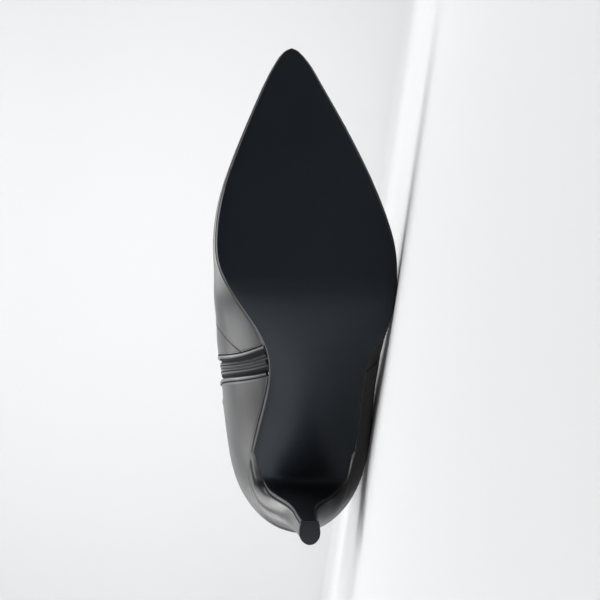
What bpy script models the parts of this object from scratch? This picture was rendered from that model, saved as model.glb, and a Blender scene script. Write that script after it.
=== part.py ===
"""Tall boot for a left foot, with a pointed toe, a slim covered heel and a zip up the inner side.

The boot is worked out standing, in millimetres: x runs from the back of the heel to the toe, y to the
outer side of the foot, z up from the floor that the tread and the heel tip stand on. A carrier empty
then lays it down on its outer side, with the middle of its box over the origin.
"""

import math
from collections import namedtuple

import bmesh
import bpy
import numpy as np
from mathutils import Matrix, Vector

# Driving sizes, in millimetres
MM = 0.001
GAP = 0.3
WALL = 1.8
TREAD_THICK = 2.6
WAIST_THICK = 2.0
FLAP_THICK = 1.4
FLAP_MARGIN = 0.15
SOLE_BEVEL = 0.9
INSOLE_THICK = 2.0
INSOLE_CLEARANCE = 0.8
TIP_THICK = 6.0
HEEL_SEAT_FRONT = 43.0
HEEL_WIDEST = 0.45
CUP_FULLNESS = 0.4
ROUND_ROWS = (4, 8)
FLAT_TOLERANCE = 0.12

# The zip, in millimetres
ZIP_FOOT_X = 89.6
ZIP_FLARE = 4.2
ZIP_FLARE_RUN = 12.0
ZIP_FOOT_Z = 28.0
ZIP_HEAD_X = 56.0
ZIP_BEND_HEIGHT = 190.0
ZIP_BEND_POWER = 2.2
ZIP_OPENING = 11.6
ZIP_TAPE_WIDTH = 11.0
ZIP_TAPE_DEPTH = 1.3
ZIP_TAPE_THICK = 0.7
ZIP_CHAIN_WIDTH = 6.0
ZIP_CHAIN_DEPTH = 0.2
ZIP_CHAIN_CREST = 0.7
ZIP_CHAIN_SHORT = 2.0
ZIP_RINGS = 40
ZIP_FINE_POINTS = 400
ZIP_FOOT_MARGIN = 3.5
ZIP_BENT_FOOT = 30.0
ZIP_FOOT_STEP = 2.5
ZIP_HEAD_MARGIN = 3.0
ZIP_CUT_MARGIN = 2.5
ZIP_CUT_REACH = 15.0
ZIP_PROBE = 0.5
ZIP_FRAME_REACH = 1.0

# The slider and its pull, in millimetres. Heights are out from the upper's face.
SLIDER_FROM_TOP = 17.0
SLIDER_WIDTH = 9.4
SLIDER_LENGTH = 12.0
SLIDER_CLEARANCE = 0.35
SLIDER_BEVEL = 0.4
SLIDER_FILLET = 0.15
SLIDER_FOOT = -0.95
SLIDER_UNDER = 0.15
SLIDER_TOP = 1.6
BRIDGE_UNDER = 4.2
BRIDGE_TOP = 5.3
BRIDGE_HALF = 4.6
BRIDGE_THICK = 0.9
BRIDGE_WIDTH = 3.0
BRIDGE_SUNK = 0.3
BRIDGE_BEVEL = 0.6
BRIDGE_FILLET = 0.2
PULL_AXIS_OUT = 2.9
PULL_WIDTH = 7.0
PULL_LENGTH = 23.0
PULL_THICK = 1.4
PULL_BAR = 1.7
PULL_WINDOW = 4.2
PULL_WINDOW_END = 7.0
PULL_ROUND = 1.0
PULL_WINDOW_ROUND = 0.5
PULL_REST_TILT = math.radians(3.5)

# How the boot lies: turned on its outer side, then settled until ball, heel and calf all touch
LIE_TURN = math.radians(-90.0)
LIE_ROLL = math.radians(-8.145)
LIE_PITCH = math.radians(3.049)

# Steps of each mesh, and of the finer curves they are read from
STEPS_PER_ROW = 2
STEPS_PER_SIDE = 12
SOLE_ACROSS = 6
HEEL_ROUND = 9
CORNER_STEPS = 5
FINE_PER_SECTION = 40
FINE_PER_ROW = 20
HALVINGS = 40
ROW_PROBE = 0.02
EASE_ROWS = 6
EASE_PASSES = 12
EASE_SHARE = 0.4
SHARP_ANGLE = math.radians(35.0)
MERGE_DISTANCE = 0.001
SHORTEST_EDGE = 0.0005

# One row for each section of the last, toe to collar. A section is a plane across the boot that is seen
# from the side as the line from its low point to its high point: on the foot from sole to instep, on the
# leg from back to front. rim is the half width where the upper meets the sole, side the widest half
# width, widest how far up the section that is, ridge the sideways place of the top, and crown how peaked.
Section = namedtuple(
    "Section", "name low_x low_z high_x high_z rim_in rim_out side_in side_out widest ridge crown"
)
FOOT = [
    Section("toe tip", 239.4, 9.5, 238.4, 13.6, 4.3, -4.3, 4.3, -4.3, 2.5, -4.3, 1.0),
    Section("toe nose", 238.3, 9.2, 236.6, 17.6, 7.0, -1.6, 7.2, -1.4, 3.5, -4.3, 1.0),
    Section("toe round", 235.8, 8.6, 233.2, 21.0, 9.7, 1.1, 10.1, 1.5, 4.5, -4.3, 1.0),
    Section("toe point", 230.5, 7.5, 227.0, 24.2, 13.0, 5.0, 13.6, 5.6, 5.5, -4.3, 1.05),
    Section("toe", 222.0, 6.0, 218.0, 27.6, 17.2, 9.7, 18.0, 10.5, 6.5, -4.4, 1.1),
    Section("toe box", 206.0, 4.3, 202.0, 32.6, 24.0, 18.6, 25.0, 19.5, 7.5, -4.6, 1.15),
    Section("vamp front", 187.5, 3.2, 183.5, 38.2, 31.3, 28.1, 32.5, 29.1, 8.5, -5.0, 1.2),
    Section("vamp", 169.0, 2.9, 166.0, 44.6, 37.0, 36.3, 38.4, 37.2, 9.5, -5.5, 1.2),
    Section("inner ball", 151.0, 2.9, 150.5, 52.5, 39.3, 42.3, 40.8, 42.9, 11.0, -6.0, 1.2),
    Section("outer ball", 137.0, 2.9, 139.5, 63.5, 37.4, 43.9, 40.6, 44.4, 14.0, -6.0, 1.15),
    Section("instep front", 123.4, 4.4, 129.5, 77.5, 29.9, 43.3, 41.2, 44.2, 24.0, -6.0, 1.1),
    Section("instep", 109.4, 12.0, 119.5, 96.0, 20.4, 39.9, 41.2, 43.1, 36.0, -5.0, 1.05),
    Section("arch front", 95.0, 25.2, 111.5, 116.5, 15.6, 33.2, 42.0, 41.7, 46.0, -4.0, 1.0),
    Section("arch", 79.6, 40.2, 105.5, 136.5, 16.8, 30.4, 41.7, 41.2, 52.0, -3.0, 0.98),
    Section("arch back", 63.8, 55.2, 101.5, 154.5, 20.6, 29.5, 41.5, 40.6, 56.0, -2.0, 0.95),
    Section("heel breast", 47.3, 69.0, 98.8, 170.0, 24.4, 28.3, 41.4, 40.6, 60.0, -1.0, 0.93),
    Section("heel seat", 33.0, 78.2, 97.3, 182.0, 25.8, 26.8, 41.0, 40.4, 63.0, 0.0, 0.92),
    Section("seat round", 17.8, 84.8, 96.7, 192.0, 22.3, 23.0, 40.2, 39.8, 66.0, 0.0, 0.91),
    Section("seat end", 7.8, 87.8, 96.6, 199.5, 12.9, 13.4, 39.6, 39.3, 69.0, 0.0, 0.91),
    Section("seat back", 4.2, 88.5, 96.7, 205.0, 0.0, 0.0, 39.2, 39.0, 70.5, 0.0, 0.91),
]
LEG = [
    Section("counter low", 0.9, 95.6, 97.0, 209.2, 0.0, 0.0, 39.1, 38.9, 71.0, 0.0, 0.91),
    Section("counter", 0.0, 105.0, 97.3, 214.6, 0.0, 0.0, 39.1, 38.8, 71.0, 0.0, 0.91),
    Section("heel top", 2.2, 126.0, 97.8, 223.0, 0.0, 0.0, 39.4, 39.0, 69.0, 0.0, 0.92),
    Section("ankle", 6.5, 152.0, 98.8, 236.0, 0.0, 0.0, 40.4, 39.8, 65.0, 0.0, 0.93),
    Section("leg low", 9.0, 191.0, 101.5, 258.0, 0.0, 0.0, 43.0, 42.0, 59.0, 0.0, 0.95),
    Section("shin", 5.5, 246.0, 107.0, 292.0, 0.0, 0.0, 47.2, 46.0, 56.0, 0.0, 0.97),
    Section("calf low", -1.5, 304.0, 112.5, 332.0, 0.0, 0.0, 50.9, 49.5, 58.0, 0.0, 1.0),
    Section("calf", -6.0, 361.0, 115.5, 376.0, 0.0, 0.0, 53.0, 51.0, 60.5, 0.0, 1.0),
    Section("collar low", -6.0, 422.0, 116.0, 428.0, 0.0, 0.0, 54.4, 52.0, 61.0, 0.0, 1.0),
    Section("collar", -4.5, 478.0, 115.5, 478.0, 0.0, 0.0, 55.2, 52.5, 60.0, 0.0, 1.0),
]
ROWS = FOOT + LEG
FOOT_NAMES = [row.name for row in FOOT]
HEEL_ROW = len(FOOT) - 1
FLAP_ROW = FOOT_NAMES.index("heel breast")
WAIST_ROWS = (FOOT_NAMES.index("outer ball"), FOOT_NAMES.index("arch front"))
INSOLE_ROWS = (FOOT_NAMES.index("toe round"), HEEL_ROW - 0.5)
FLAT_RISE = GAP + TREAD_THICK + FLAT_TOLERANCE

# How far the underside of the sole swells below its edges, by row of FOOT
SOLE_SWELL = {
    "instep front": 0.4,
    "instep": 1.2,
    "arch front": 2.2,
    "arch": 2.8,
    "arch back": 2.8,
    "heel breast": 2.4,
}

# The sole's flap down the front of the heel: its face seen from the side, its half widths, and how far it
# has moved to the outer side
FlapRow = namedtuple("FlapRow", "x z half_in half_out lean swell")
FLAP = [
    FlapRow(42.0, 69.6, 23.0, 26.6, 0.0, 1.9),
    FlapRow(36.4, 72.6, 21.4, 25.0, 0.2, 1.5),
    FlapRow(31.4, 73.6, 19.4, 22.6, 0.4, 1.2),
    FlapRow(27.8, 70.6, 17.2, 19.4, 0.6, 0.9),
    FlapRow(25.9, 64.2, 14.2, 15.8, 0.9, 0.7),
    FlapRow(24.8, 56.0, 10.8, 12.2, 1.2, 0.5),
    FlapRow(24.0, 45.4, 7.6, 7.2, 1.6, 0.4),
    FlapRow(23.2, 32.0, 5.6, 5.0, 2.2, 0.3),
    FlapRow(22.5, 18.0, 4.7, 4.4, 2.9, 0.2),
    FlapRow(22.1, 6.3, 4.1, 4.1, 3.9, 0.2),
]
# The back of the heel beside each flap row but the first, with its half width
HeelRow = namedtuple("HeelRow", "flap_row back_x back_z half")
HEEL = [
    HeelRow(1, 5.1, 82.6, 25.2),
    HeelRow(2, 5.6, 79.0, 24.0),
    HeelRow(3, 6.3, 73.2, 21.2),
    HeelRow(4, 7.1, 66.0, 17.0),
    HeelRow(5, 8.0, 57.6, 12.6),
    HeelRow(6, 9.0, 47.4, 8.6),
    HeelRow(7, 10.1, 33.4, 6.2),
    HeelRow(8, 11.1, 18.6, 5.2),
    HeelRow(9, 11.9, 6.3, 4.85),
]

PART_NAME = "Tall boot"
BLACK_LEATHER = ("black leather", (0.022, 0.022, 0.024), 0.42, 0.0)
BLACK_SOLE = ("black sole", (0.012, 0.013, 0.015), 0.5, 0.0)
BLACK_TIP = ("black heel tip", (0.014, 0.014, 0.015), 0.55, 0.0)
INSOLE_LINING = ("insole lining", (0.05, 0.047, 0.045), 0.7, 0.0)
ZIP_FABRIC = ("zip tape", (0.016, 0.016, 0.018), 0.85, 0.0)
ZIP_NYLON = ("zip chain", (0.03, 0.03, 0.033), 0.4, 0.0)
DARK_METAL = ("dark metal", (0.10, 0.10, 0.105), 0.32, 1.0)


# Smooth columns between the rows


def natural_spline(values):
    """The second derivatives of the smoothest curve through values, one step apart."""
    count = len(values)
    system = np.eye(count)
    right = np.zeros(count)
    for i in range(1, count - 1):
        system[i, i - 1 : i + 2] = (1.0, 4.0, 1.0)
        right[i] = 6.0 * (values[i - 1] - 2.0 * values[i] + values[i + 1])
    return np.linalg.solve(system, right)


def spline_value(values, bends, at):
    i = min(max(int(at), 0), len(values) - 2)
    b = at - i
    a = 1.0 - b
    cubic = (a**3 - a) * bends[i] + (b**3 - b) * bends[i + 1]
    return a * values[i] + b * values[i + 1] + cubic / 6.0


def smooth_columns(rows, names):
    columns = {name: [getattr(row, name) for row in rows] for name in names}
    return {name: (values, natural_spline(values)) for name, values in columns.items()}


SHAPE = smooth_columns(ROWS, [n for n in Section._fields if n != "name"])
RIMS = smooth_columns(FOOT, ["rim_in", "rim_out", "low_x", "low_z"])


def section_at(at):
    """The section at a place between the rows: at 0 the toe tip, at HEEL_ROW the back of the heel seat."""
    found = {name: spline_value(*column, at) for name, column in SHAPE.items()}
    on_foot = {name: spline_value(*column, min(at, HEEL_ROW)) for name, column in RIMS.items()}
    if at >= HEEL_ROW:
        found.update(rim_in=0.0, rim_out=0.0, ridge=0.0)
    else:
        found.update(on_foot)
    return Section(name="", **found)


def rows_where(column, value, low, high):
    """The place between two rows where a column that only falls or only rises has a value."""
    rising = getattr(section_at(high), column) > getattr(section_at(low), column)
    for _ in range(HALVINGS):
        middle = (low + high) / 2
        if (getattr(section_at(middle), column) < value) == rising:
            low = middle
        else:
            high = middle
    return (low + high) / 2


# The upper's own surface


def section_line(section):
    """The section's low point, direction and length, seen from the side."""
    low = np.array([section.low_x, section.low_z])
    reach = np.array([section.high_x, section.high_z]) - low
    length = np.hypot(*reach)
    return low, reach / length, length


def side_half(section, inner, up):
    """How far the surface is from the middle plane at a height up a section, on one side.

    Below the widest height it is an ellipse that the rim cuts off, and above it a peaked one.
    """
    ridge = -section.ridge if inner else section.ridge
    rim = (section.rim_in if inner else section.rim_out) - ridge
    side = (section.side_in if inner else section.side_out) - ridge
    length = section_line(section)[2]
    if up <= section.widest:
        cut = math.sqrt(max(0.0, 1.0 - (rim / side) ** 2)) if side > rim else 0.0
        rise = cut * max(0.0, min(1.0, 1.0 - up / section.widest))
        return ridge + side * math.sqrt(1.0 - rise * rise)
    share = min(1.0, (up - section.widest) / (length - section.widest)) ** (1.0 / section.crown)
    return ridge + side * math.sqrt(1.0 - share * share) ** section.crown


def side_point(section, inner, up):
    low, direction, _ = section_line(section)
    x, z = low + direction * up
    half = side_half(section, inner, up)
    return np.array([x, -half if inner else half, z])


def side_curve(section, inner, steps):
    """Points evenly spaced from the rim, or the back, up one side of a section to its ridge."""
    length = section_line(section)[2]
    quarter = np.linspace(0.0, math.pi / 2, FINE_PER_SECTION)
    lower = section.widest * (1.0 - np.cos(quarter))
    upper = section.widest + (length - section.widest) * np.sin(quarter[1:]) ** section.crown
    fine = np.array([side_point(section, inner, up) for up in np.concatenate([lower, upper])])
    walked = np.concatenate([[0.0], np.cumsum(np.linalg.norm(np.diff(fine, axis=0), axis=1))])
    wanted = np.linspace(0.0, walked[-1], steps + 1)
    return np.stack([np.interp(wanted, walked, fine[:, k]) for k in range(3)], axis=1)


def upper_places():
    return np.linspace(0.0, len(ROWS) - 1, (len(ROWS) - 1) * STEPS_PER_ROW + 1)


def outer_grid():
    """The outer face: a row for each section, from the inner rim over the ridge to the outer rim."""
    rows = []
    for at in upper_places():
        section = section_at(at)
        inner = side_curve(section, True, STEPS_PER_SIDE)
        outer = side_curve(section, False, STEPS_PER_SIDE)
        rows.append(np.concatenate([inner, outer[-2::-1]]))
    return ease_heel(np.array(rows))


def ease_heel(grid):
    """Round off the corner that the sections turn at the back of the heel, more so away from the rim."""
    heel = HEEL_ROW * STEPS_PER_ROW
    first, last = heel - EASE_ROWS, heel + EASE_ROWS + 1
    share = EASE_SHARE * np.sin(np.linspace(0.0, math.pi, grid.shape[1]))[None, :, None]
    for _ in range(EASE_PASSES):
        bend = grid[first - 1 : last - 1] + grid[first + 1 : last + 1] - 2.0 * grid[first:last]
        grid[first:last] += share * bend
    return grid


def grid_normals(grid):
    """Outward directions of the grid. They are level at the rim and have no sideways part at the seams."""
    along = np.gradient(grid, axis=0)
    across = np.gradient(grid, axis=1)
    normals = np.cross(across, along)
    heel = HEEL_ROW * STEPS_PER_ROW
    back = normals[heel:, 0] + normals[heel:, -1]
    normals[heel:, 0] = back
    normals[heel:, -1] = back
    nose = normals[1] + normals[1, ::-1]
    normals[0] = nose
    normals[0, :, 1] = 0.0
    normals[heel:, [0, -1], 1] = 0.0
    normals /= np.linalg.norm(normals, axis=2, keepdims=True)
    for end, sign in ((0, -1.0), (-1, 1.0)):
        run = along[: heel + 1, end]
        level = np.stack([-sign * run[:, 1], sign * run[:, 0], 0.0 * run[:, 0]], axis=1)
        level *= np.where(level[:, 1] * sign < 0.0, -1.0, 1.0)[:, None]
        level[0] = (1.0, 0.0, 0.0)
        level[heel] = (-1.0, 0.0, 0.0)
        normals[: heel + 1, end] = level / np.linalg.norm(level, axis=1, keepdims=True)
    return normals


# Meshes


def mesh_object(name, bm, finish, collection):
    """A closed mesh in millimetres made a named object in metres, with its faces turned outwards."""
    bmesh.ops.remove_doubles(bm, verts=bm.verts, dist=MERGE_DISTANCE)
    bmesh.ops.dissolve_degenerate(bm, edges=bm.edges, dist=SHORTEST_EDGE)
    bmesh.ops.recalc_face_normals(bm, faces=bm.faces)
    bmesh.ops.scale(bm, vec=(MM, MM, MM), verts=bm.verts)
    mesh = bpy.data.meshes.new(name)
    bm.to_mesh(mesh)
    bm.free()
    mesh.shade_smooth()
    mesh.set_sharp_from_angle(angle=SHARP_ANGLE)
    obj = bpy.data.objects.new(name, mesh)
    collection.objects.link(obj)
    if finish:
        mesh.materials.append(material(*finish))
    return obj


def material(name, colour, roughness, metallic):
    found = bpy.data.materials.get(name)
    if found:
        return found
    made = bpy.data.materials.new(name)
    made.use_nodes = True
    shader = made.node_tree.nodes["Principled BSDF"]
    shader.inputs["Base Color"].default_value = (*colour, 1.0)
    shader.inputs["Roughness"].default_value = roughness
    shader.inputs["Metallic"].default_value = metallic
    return made


def skin(bm, rows, closed=False):
    """Quads between neighbouring rows of points. A closed row joins its last point to its first."""
    verts = [[bm.verts.new(point) for point in row] for row in rows]
    for first, second in zip(verts, verts[1:]):
        count = len(first)
        for i in range(count if closed else count - 1):
            k = (i + 1) % count
            bm.faces.new((first[i], first[k], second[k], second[i]))
    return verts


def closed_loft(name, rings, finish, collection):
    """A solid through rings of points. Its ends are closed by strips between the two halves of a ring."""
    bm = bmesh.new()
    verts = skin(bm, rings, closed=True)
    for ring in (verts[0], verts[-1]):
        last = len(ring) - 1
        for i in range(len(ring) // 2 - 1):
            bm.faces.new((ring[i], ring[i + 1], ring[last - i - 1], ring[last - i]))
    return mesh_object(name, bm, finish, collection)


# The pieces


def make_upper(collection):
    """The upper is one wall, open at the collar and underneath, with the zip's opening cut in it."""
    outer = outer_grid()
    inner = outer - WALL * grid_normals(outer)
    heel = HEEL_ROW * STEPS_PER_ROW
    for end in (0, -1):
        inner[: heel + 1, end, 2] = rim_height(inner[: heel + 1, end, 0])
    bm = bmesh.new()
    skin(bm, outer)
    skin(bm, inner)
    for end in (0, -1):
        skin(bm, [outer[: heel + 1, end], inner[: heel + 1, end]])
    skin(bm, [outer[-1], inner[-1]])
    return mesh_object("upper", bm, BLACK_LEATHER, collection)


def rim_outline(places, inset):
    """The sole's edge on both sides at the given places, moved inwards by a distance in plan."""
    fine = np.linspace(0.0, HEEL_ROW, FINE_PER_ROW * HEEL_ROW + 1)
    sections = [section_at(at) for at in fine]
    inner = np.array([(s.low_x, -s.rim_in) for s in sections])
    outer = np.array([(s.low_x, s.rim_out) for s in sections])
    loop = np.concatenate([inner[::-1], outer[1:]])
    run = np.gradient(loop, axis=0)
    run /= np.linalg.norm(run, axis=1, keepdims=True)
    moved = loop + inset * np.stack([-run[:, 1], run[:, 0]], axis=1)
    toe = len(inner) - 1
    halves = []
    for half in (moved[toe::-1], moved[toe:]):
        halves.append([[np.interp(at, fine, half[:, k]) for k in range(2)] for at in places])
    return halves


def rim_height(x):
    """The height of the upper's rim above the floor at a distance from the back of the heel."""
    sections = [section_at(at) for at in upper_places()[HEEL_ROW * STEPS_PER_ROW :: -1]]
    return np.interp(x, [s.low_x for s in sections], [s.low_z for s in sections])


def sole_row_swell(at):
    values = [SOLE_SWELL.get(row.name, 0.0) for row in FOOT]
    return float(np.interp(at, range(len(values)), values))


def strip_ring(low_edge, high_edge, swell, down):
    """A ring across a strip: its face from edge to edge, swollen along down, then its back the other way."""
    shares = np.linspace(0.0, 1.0, SOLE_ACROSS + 1)
    face = []
    for share in shares:
        point = low_edge[0] * (1.0 - share) + low_edge[1] * share
        face.append(point + down * swell * (1.0 - (2.0 * share - 1.0) ** 2))
    back = [high_edge[0] * (1.0 - share) + high_edge[1] * share for share in shares]
    return face + back[::-1]


def make_outsole(collection):
    """One thin sole: tread, arch, then a flap that turns down the front of the heel to its tip."""
    places = [at for at in upper_places() if at <= FLAP_ROW]
    top_halves = rim_outline(places, 0.0)
    face_halves = rim_outline(places, SOLE_BEVEL)
    rings = []
    for i, at in enumerate(places):
        section = section_at(at)
        ahead = section_at(min(at + ROW_PROBE, HEEL_ROW))
        behind = section_at(max(at - ROW_PROBE, 0.0))
        run = np.array([ahead.low_x - behind.low_x, 0.0, ahead.low_z - behind.low_z])
        run /= np.linalg.norm(run)
        down = np.array([run[2], 0.0, -run[0]])
        down *= -np.sign(down[2])
        thick = np.interp(at, WAIST_ROWS, (TREAD_THICK, WAIST_THICK))
        seat = section.low_z - GAP
        top = [np.array([*half[i], seat]) for half in top_halves]
        face = [np.array([*half[i], seat]) + down * thick for half in face_halves]
        for point in face:
            point[2] = 0.0 if section.low_z < FLAT_RISE else point[2]
        rings.append(strip_ring(face, top, sole_row_swell(at), down))
    for row, (front, back, down) in zip(FLAP, flap_faces()):
        face = [front + (0.0, row.lean - row.half_in, 0.0), front + (0.0, row.lean + row.half_out, 0.0)]
        high = [back + (0.0, row.lean - row.half_in, 0.0), back + (0.0, row.lean + row.half_out, 0.0)]
        rings.append(strip_ring(face, high, row.swell, down))
    return closed_loft("outsole", rings, BLACK_SOLE, collection)


def flap_faces():
    """For each flap row its face point, its back point against the heel, and the way its face looks."""
    line = np.array([(row.x, 0.0, row.z) for row in FLAP])
    run = np.gradient(line, axis=0)
    run /= np.linalg.norm(run, axis=1, keepdims=True)
    looks = np.stack([-run[:, 2], 0.0 * run[:, 0], run[:, 0]], axis=1)
    return [(point, point - FLAP_THICK * look, look) for point, look in zip(line, looks)]


def heel_ring(front, back, edges, half, lean, roundness):
    """A ring round the heel: from the flap's two edges it swells to its half width and closes round the back."""
    shares = np.sin(np.linspace(0.0, math.pi / 2, HEEL_ROUND))
    middle = [front * (1.0 - share) + back * share for share in shares]
    before = np.maximum(0.0, 1.0 - shares / HEEL_WIDEST)
    after = np.maximum(0.0, (shares - HEEL_WIDEST) / (1.0 - HEEL_WIDEST))
    sides = []
    for edge, sign in zip(edges, (-1.0, 1.0)):
        cup = (1.0 - shares**2) ** CUP_FULLNESS * (1.0 - (1.0 - edge / half) * before**2)
        stem = np.sqrt(1.0 - before**2 * (1.0 - (edge / half) ** 2)) * np.sqrt(1.0 - after**2)
        reach = half * (cup * (1.0 - roundness) + stem * roundness)
        sides.append([m + (0.0, lean + sign * r, 0.0) for m, r in zip(middle, reach)])
    return sides[0] + sides[1][::-1]


def make_heel(collection):
    """The covered heel: a cup under the heel seat that runs into a slim stem, behind the sole's flap."""
    front_place = rows_where("low_x", HEEL_SEAT_FRONT, HEEL_ROW - 6, HEEL_ROW)
    places = np.linspace(front_place, HEEL_ROW, HEEL_ROUND)
    sections = [section_at(at) for at in places]
    inner = [np.array([s.low_x, -s.rim_in, s.low_z - GAP]) for s in sections]
    outer = [np.array([s.low_x, s.rim_out, s.low_z - GAP]) for s in sections]
    rings = [inner + outer[::-1]]
    faces = flap_faces()
    for row in HEEL:
        flap = FLAP[row.flap_row]
        front = faces[row.flap_row][1] - GAP * faces[row.flap_row][2]
        back = np.array([row.back_x, 0.0, row.back_z])
        edges = (flap.half_in + FLAP_MARGIN, flap.half_out + FLAP_MARGIN)
        roundness = np.interp(row.flap_row, ROUND_ROWS, (0.0, 1.0))
        rings.append(heel_ring(front, back, edges, row.half, flap.lean, roundness))
    return closed_loft("heel", rings, BLACK_LEATHER, collection)


def make_insole(collection):
    """The insole: a board inside the upper, over the outsole and the heel seat."""
    first, last = INSOLE_ROWS
    places = [at for at in upper_places() if first <= at <= last]
    halves = rim_outline(places, WALL + INSOLE_CLEARANCE)
    rings = []
    for i in range(len(places)):
        low = [np.array([*half[i], rim_height(half[i][0])]) for half in halves]
        high = [point + (0.0, 0.0, INSOLE_THICK) for point in low]
        rings.append(strip_ring(low, high, 0.0, np.zeros(3)))
    return closed_loft("insole", rings, INSOLE_LINING, collection)


def make_top_lift(collection):
    """The tip under the heel, flush with the stem's back and the flap's face."""
    flap = FLAP[-1]
    heel = HEEL[-1]
    rings = []
    for z in (0.0, TIP_THICK):
        front = np.array([flap.x, 0.0, z])
        back = np.array([heel.back_x, 0.0, z])
        rings.append(heel_ring(front, back, (flap.half_in, flap.half_out), heel.half, flap.lean, 1.0))
    return closed_loft("top_lift", rings, BLACK_TIP, collection)


# The zip


def zip_x(z):
    """The zip's line seen from the side: back from the arch, up, then back to the middle of the shaft."""
    share = math.exp(-((max(z - ZIP_FOOT_Z, 0.0) / ZIP_BEND_HEIGHT) ** ZIP_BEND_POWER))
    flare = ZIP_FLARE * math.exp(-(z - ZIP_FOOT_Z) / ZIP_FLARE_RUN)
    return ZIP_HEAD_X + (ZIP_FOOT_X - ZIP_HEAD_X) * share + flare


def zip_crossing(section):
    """How far up a section the zip's line crosses it: below 0 where it passes under the rim."""
    low, direction, length = section_line(section)
    if low[0] > zip_x(low[1]):
        return -1.0
    short, far = 0.0, length
    for _ in range(HALVINGS):
        up = (short + far) / 2
        x, z = low + direction * up
        if x < zip_x(z):
            short = up
        else:
            far = up
    return up


def fine_zip_line():
    """Points of the zip's line on the outer face, the way out of the face, and the distance walked."""
    before, after = FLAP_ROW - 5.0, float(FLAP_ROW)
    for _ in range(HALVINGS):
        middle = (before + after) / 2
        if zip_crossing(section_at(middle)) < 0.0:
            before = middle
        else:
            after = middle
    points = []
    ups = []
    for share in np.linspace(0.0, 1.0, ZIP_FINE_POINTS):
        section = section_at(after + (len(ROWS) - 1 - after) * share**2)
        up = zip_crossing(section)
        points.append(side_point(section, True, up))
        above = side_point(section, True, up + ZIP_PROBE)
        ups.append(above - side_point(section, True, max(up - ZIP_PROBE, 0.0)))
    points = np.array(points)
    out = np.cross(np.gradient(points, axis=0), np.array(ups))
    out *= -np.sign(out[-1, 1])
    out /= np.linalg.norm(out, axis=1, keepdims=True)
    walked = np.concatenate([[0.0], np.cumsum(np.linalg.norm(np.diff(points, axis=0), axis=1))])
    return points, out, walked


ZIP_LINE = fine_zip_line()
ZIP_LENGTH = ZIP_LINE[2][-1]


def zip_frame(distance):
    """The place and the ways across, along and out at a distance up the zip from the sole."""
    points, outs, walked = ZIP_LINE
    within = min(max(distance, ZIP_FRAME_REACH), ZIP_LENGTH - ZIP_FRAME_REACH)

    def read(column, at):
        return np.array([np.interp(at, walked, column[:, k]) for k in range(3)])

    along = read(points, within + ZIP_FRAME_REACH) - read(points, within - ZIP_FRAME_REACH)
    along /= np.linalg.norm(along)
    out = read(outs, within)
    out -= along * np.dot(out, along)
    out /= np.linalg.norm(out)
    return read(points, within) + along * (distance - within), np.cross(along, out), along, out


def sweep(profile, first, last):
    """Rings of a profile of (across, out) carried up the zip between two distances from the sole."""
    foot = np.arange(0.0, ZIP_BENT_FOOT, ZIP_FOOT_STEP)
    inside = np.concatenate([foot, np.linspace(ZIP_BENT_FOOT, ZIP_LENGTH, ZIP_RINGS)])
    distances = [first] + [d for d in inside if first + ZIP_PROBE < d < last - ZIP_PROBE] + [last]
    rings = []
    for distance in distances:
        place, across, _, out = zip_frame(distance)
        rings.append([place + across * a + out * o for a, o in profile])
    return rings


def box_profile(width, low, high):
    shares = np.linspace(-0.5, 0.5, 5)
    return [(width * s, low) for s in shares] + [(width * s, high) for s in shares[::-1]]


def make_zip_cutter(upper, collection):
    """The opening for the zip, right through the wall from the sole to the collar."""
    profile = box_profile(ZIP_OPENING, -WALL - ZIP_CUT_MARGIN, ZIP_CUT_MARGIN)
    rings = sweep(profile, -ZIP_CUT_REACH, ZIP_LENGTH + ZIP_CUT_REACH)
    cutter = closed_loft("zip_opening", rings, None, collection)
    cutter.hide_render = True
    cutter.display_type = "WIRE"
    cut = upper.modifiers.new("zip opening", "BOOLEAN")
    cut.operation = "DIFFERENCE"
    cut.object = cutter
    return cutter


def make_zip(collection):
    """The woven tape, and the coil chain that runs up the middle of it."""
    tape = box_profile(ZIP_TAPE_WIDTH, -ZIP_TAPE_DEPTH - ZIP_TAPE_THICK, -ZIP_TAPE_DEPTH)
    foot = ZIP_FOOT_MARGIN
    head = ZIP_LENGTH - ZIP_HEAD_MARGIN
    half = ZIP_CHAIN_WIDTH / 2
    low = -ZIP_TAPE_DEPTH + GAP
    shoulder = (low - ZIP_CHAIN_DEPTH) / 2
    chain = [(-half, low), (0.0, low), (half, low), (half, shoulder)]
    crest = ZIP_CHAIN_CREST * half
    chain += [(a, -ZIP_CHAIN_DEPTH) for a in (crest, 0.0, -crest)] + [(-half, shoulder)]
    return [
        closed_loft("zip_tape", sweep(tape, foot, head), ZIP_FABRIC, collection),
        closed_loft("zip_chain", sweep(chain, foot, head - ZIP_CHAIN_SHORT), ZIP_NYLON, collection),
    ]


def zip_matrix():
    """From slider space (across, along, out) to the boot: its origin is on the pull's axis."""
    place, across, along, out = zip_frame(ZIP_LENGTH - SLIDER_FROM_TOP)
    place = place + out * PULL_AXIS_OUT
    matrix = Matrix((across, along, out)).transposed().to_4x4()
    matrix.translation = Vector(place) * MM
    return matrix


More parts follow.
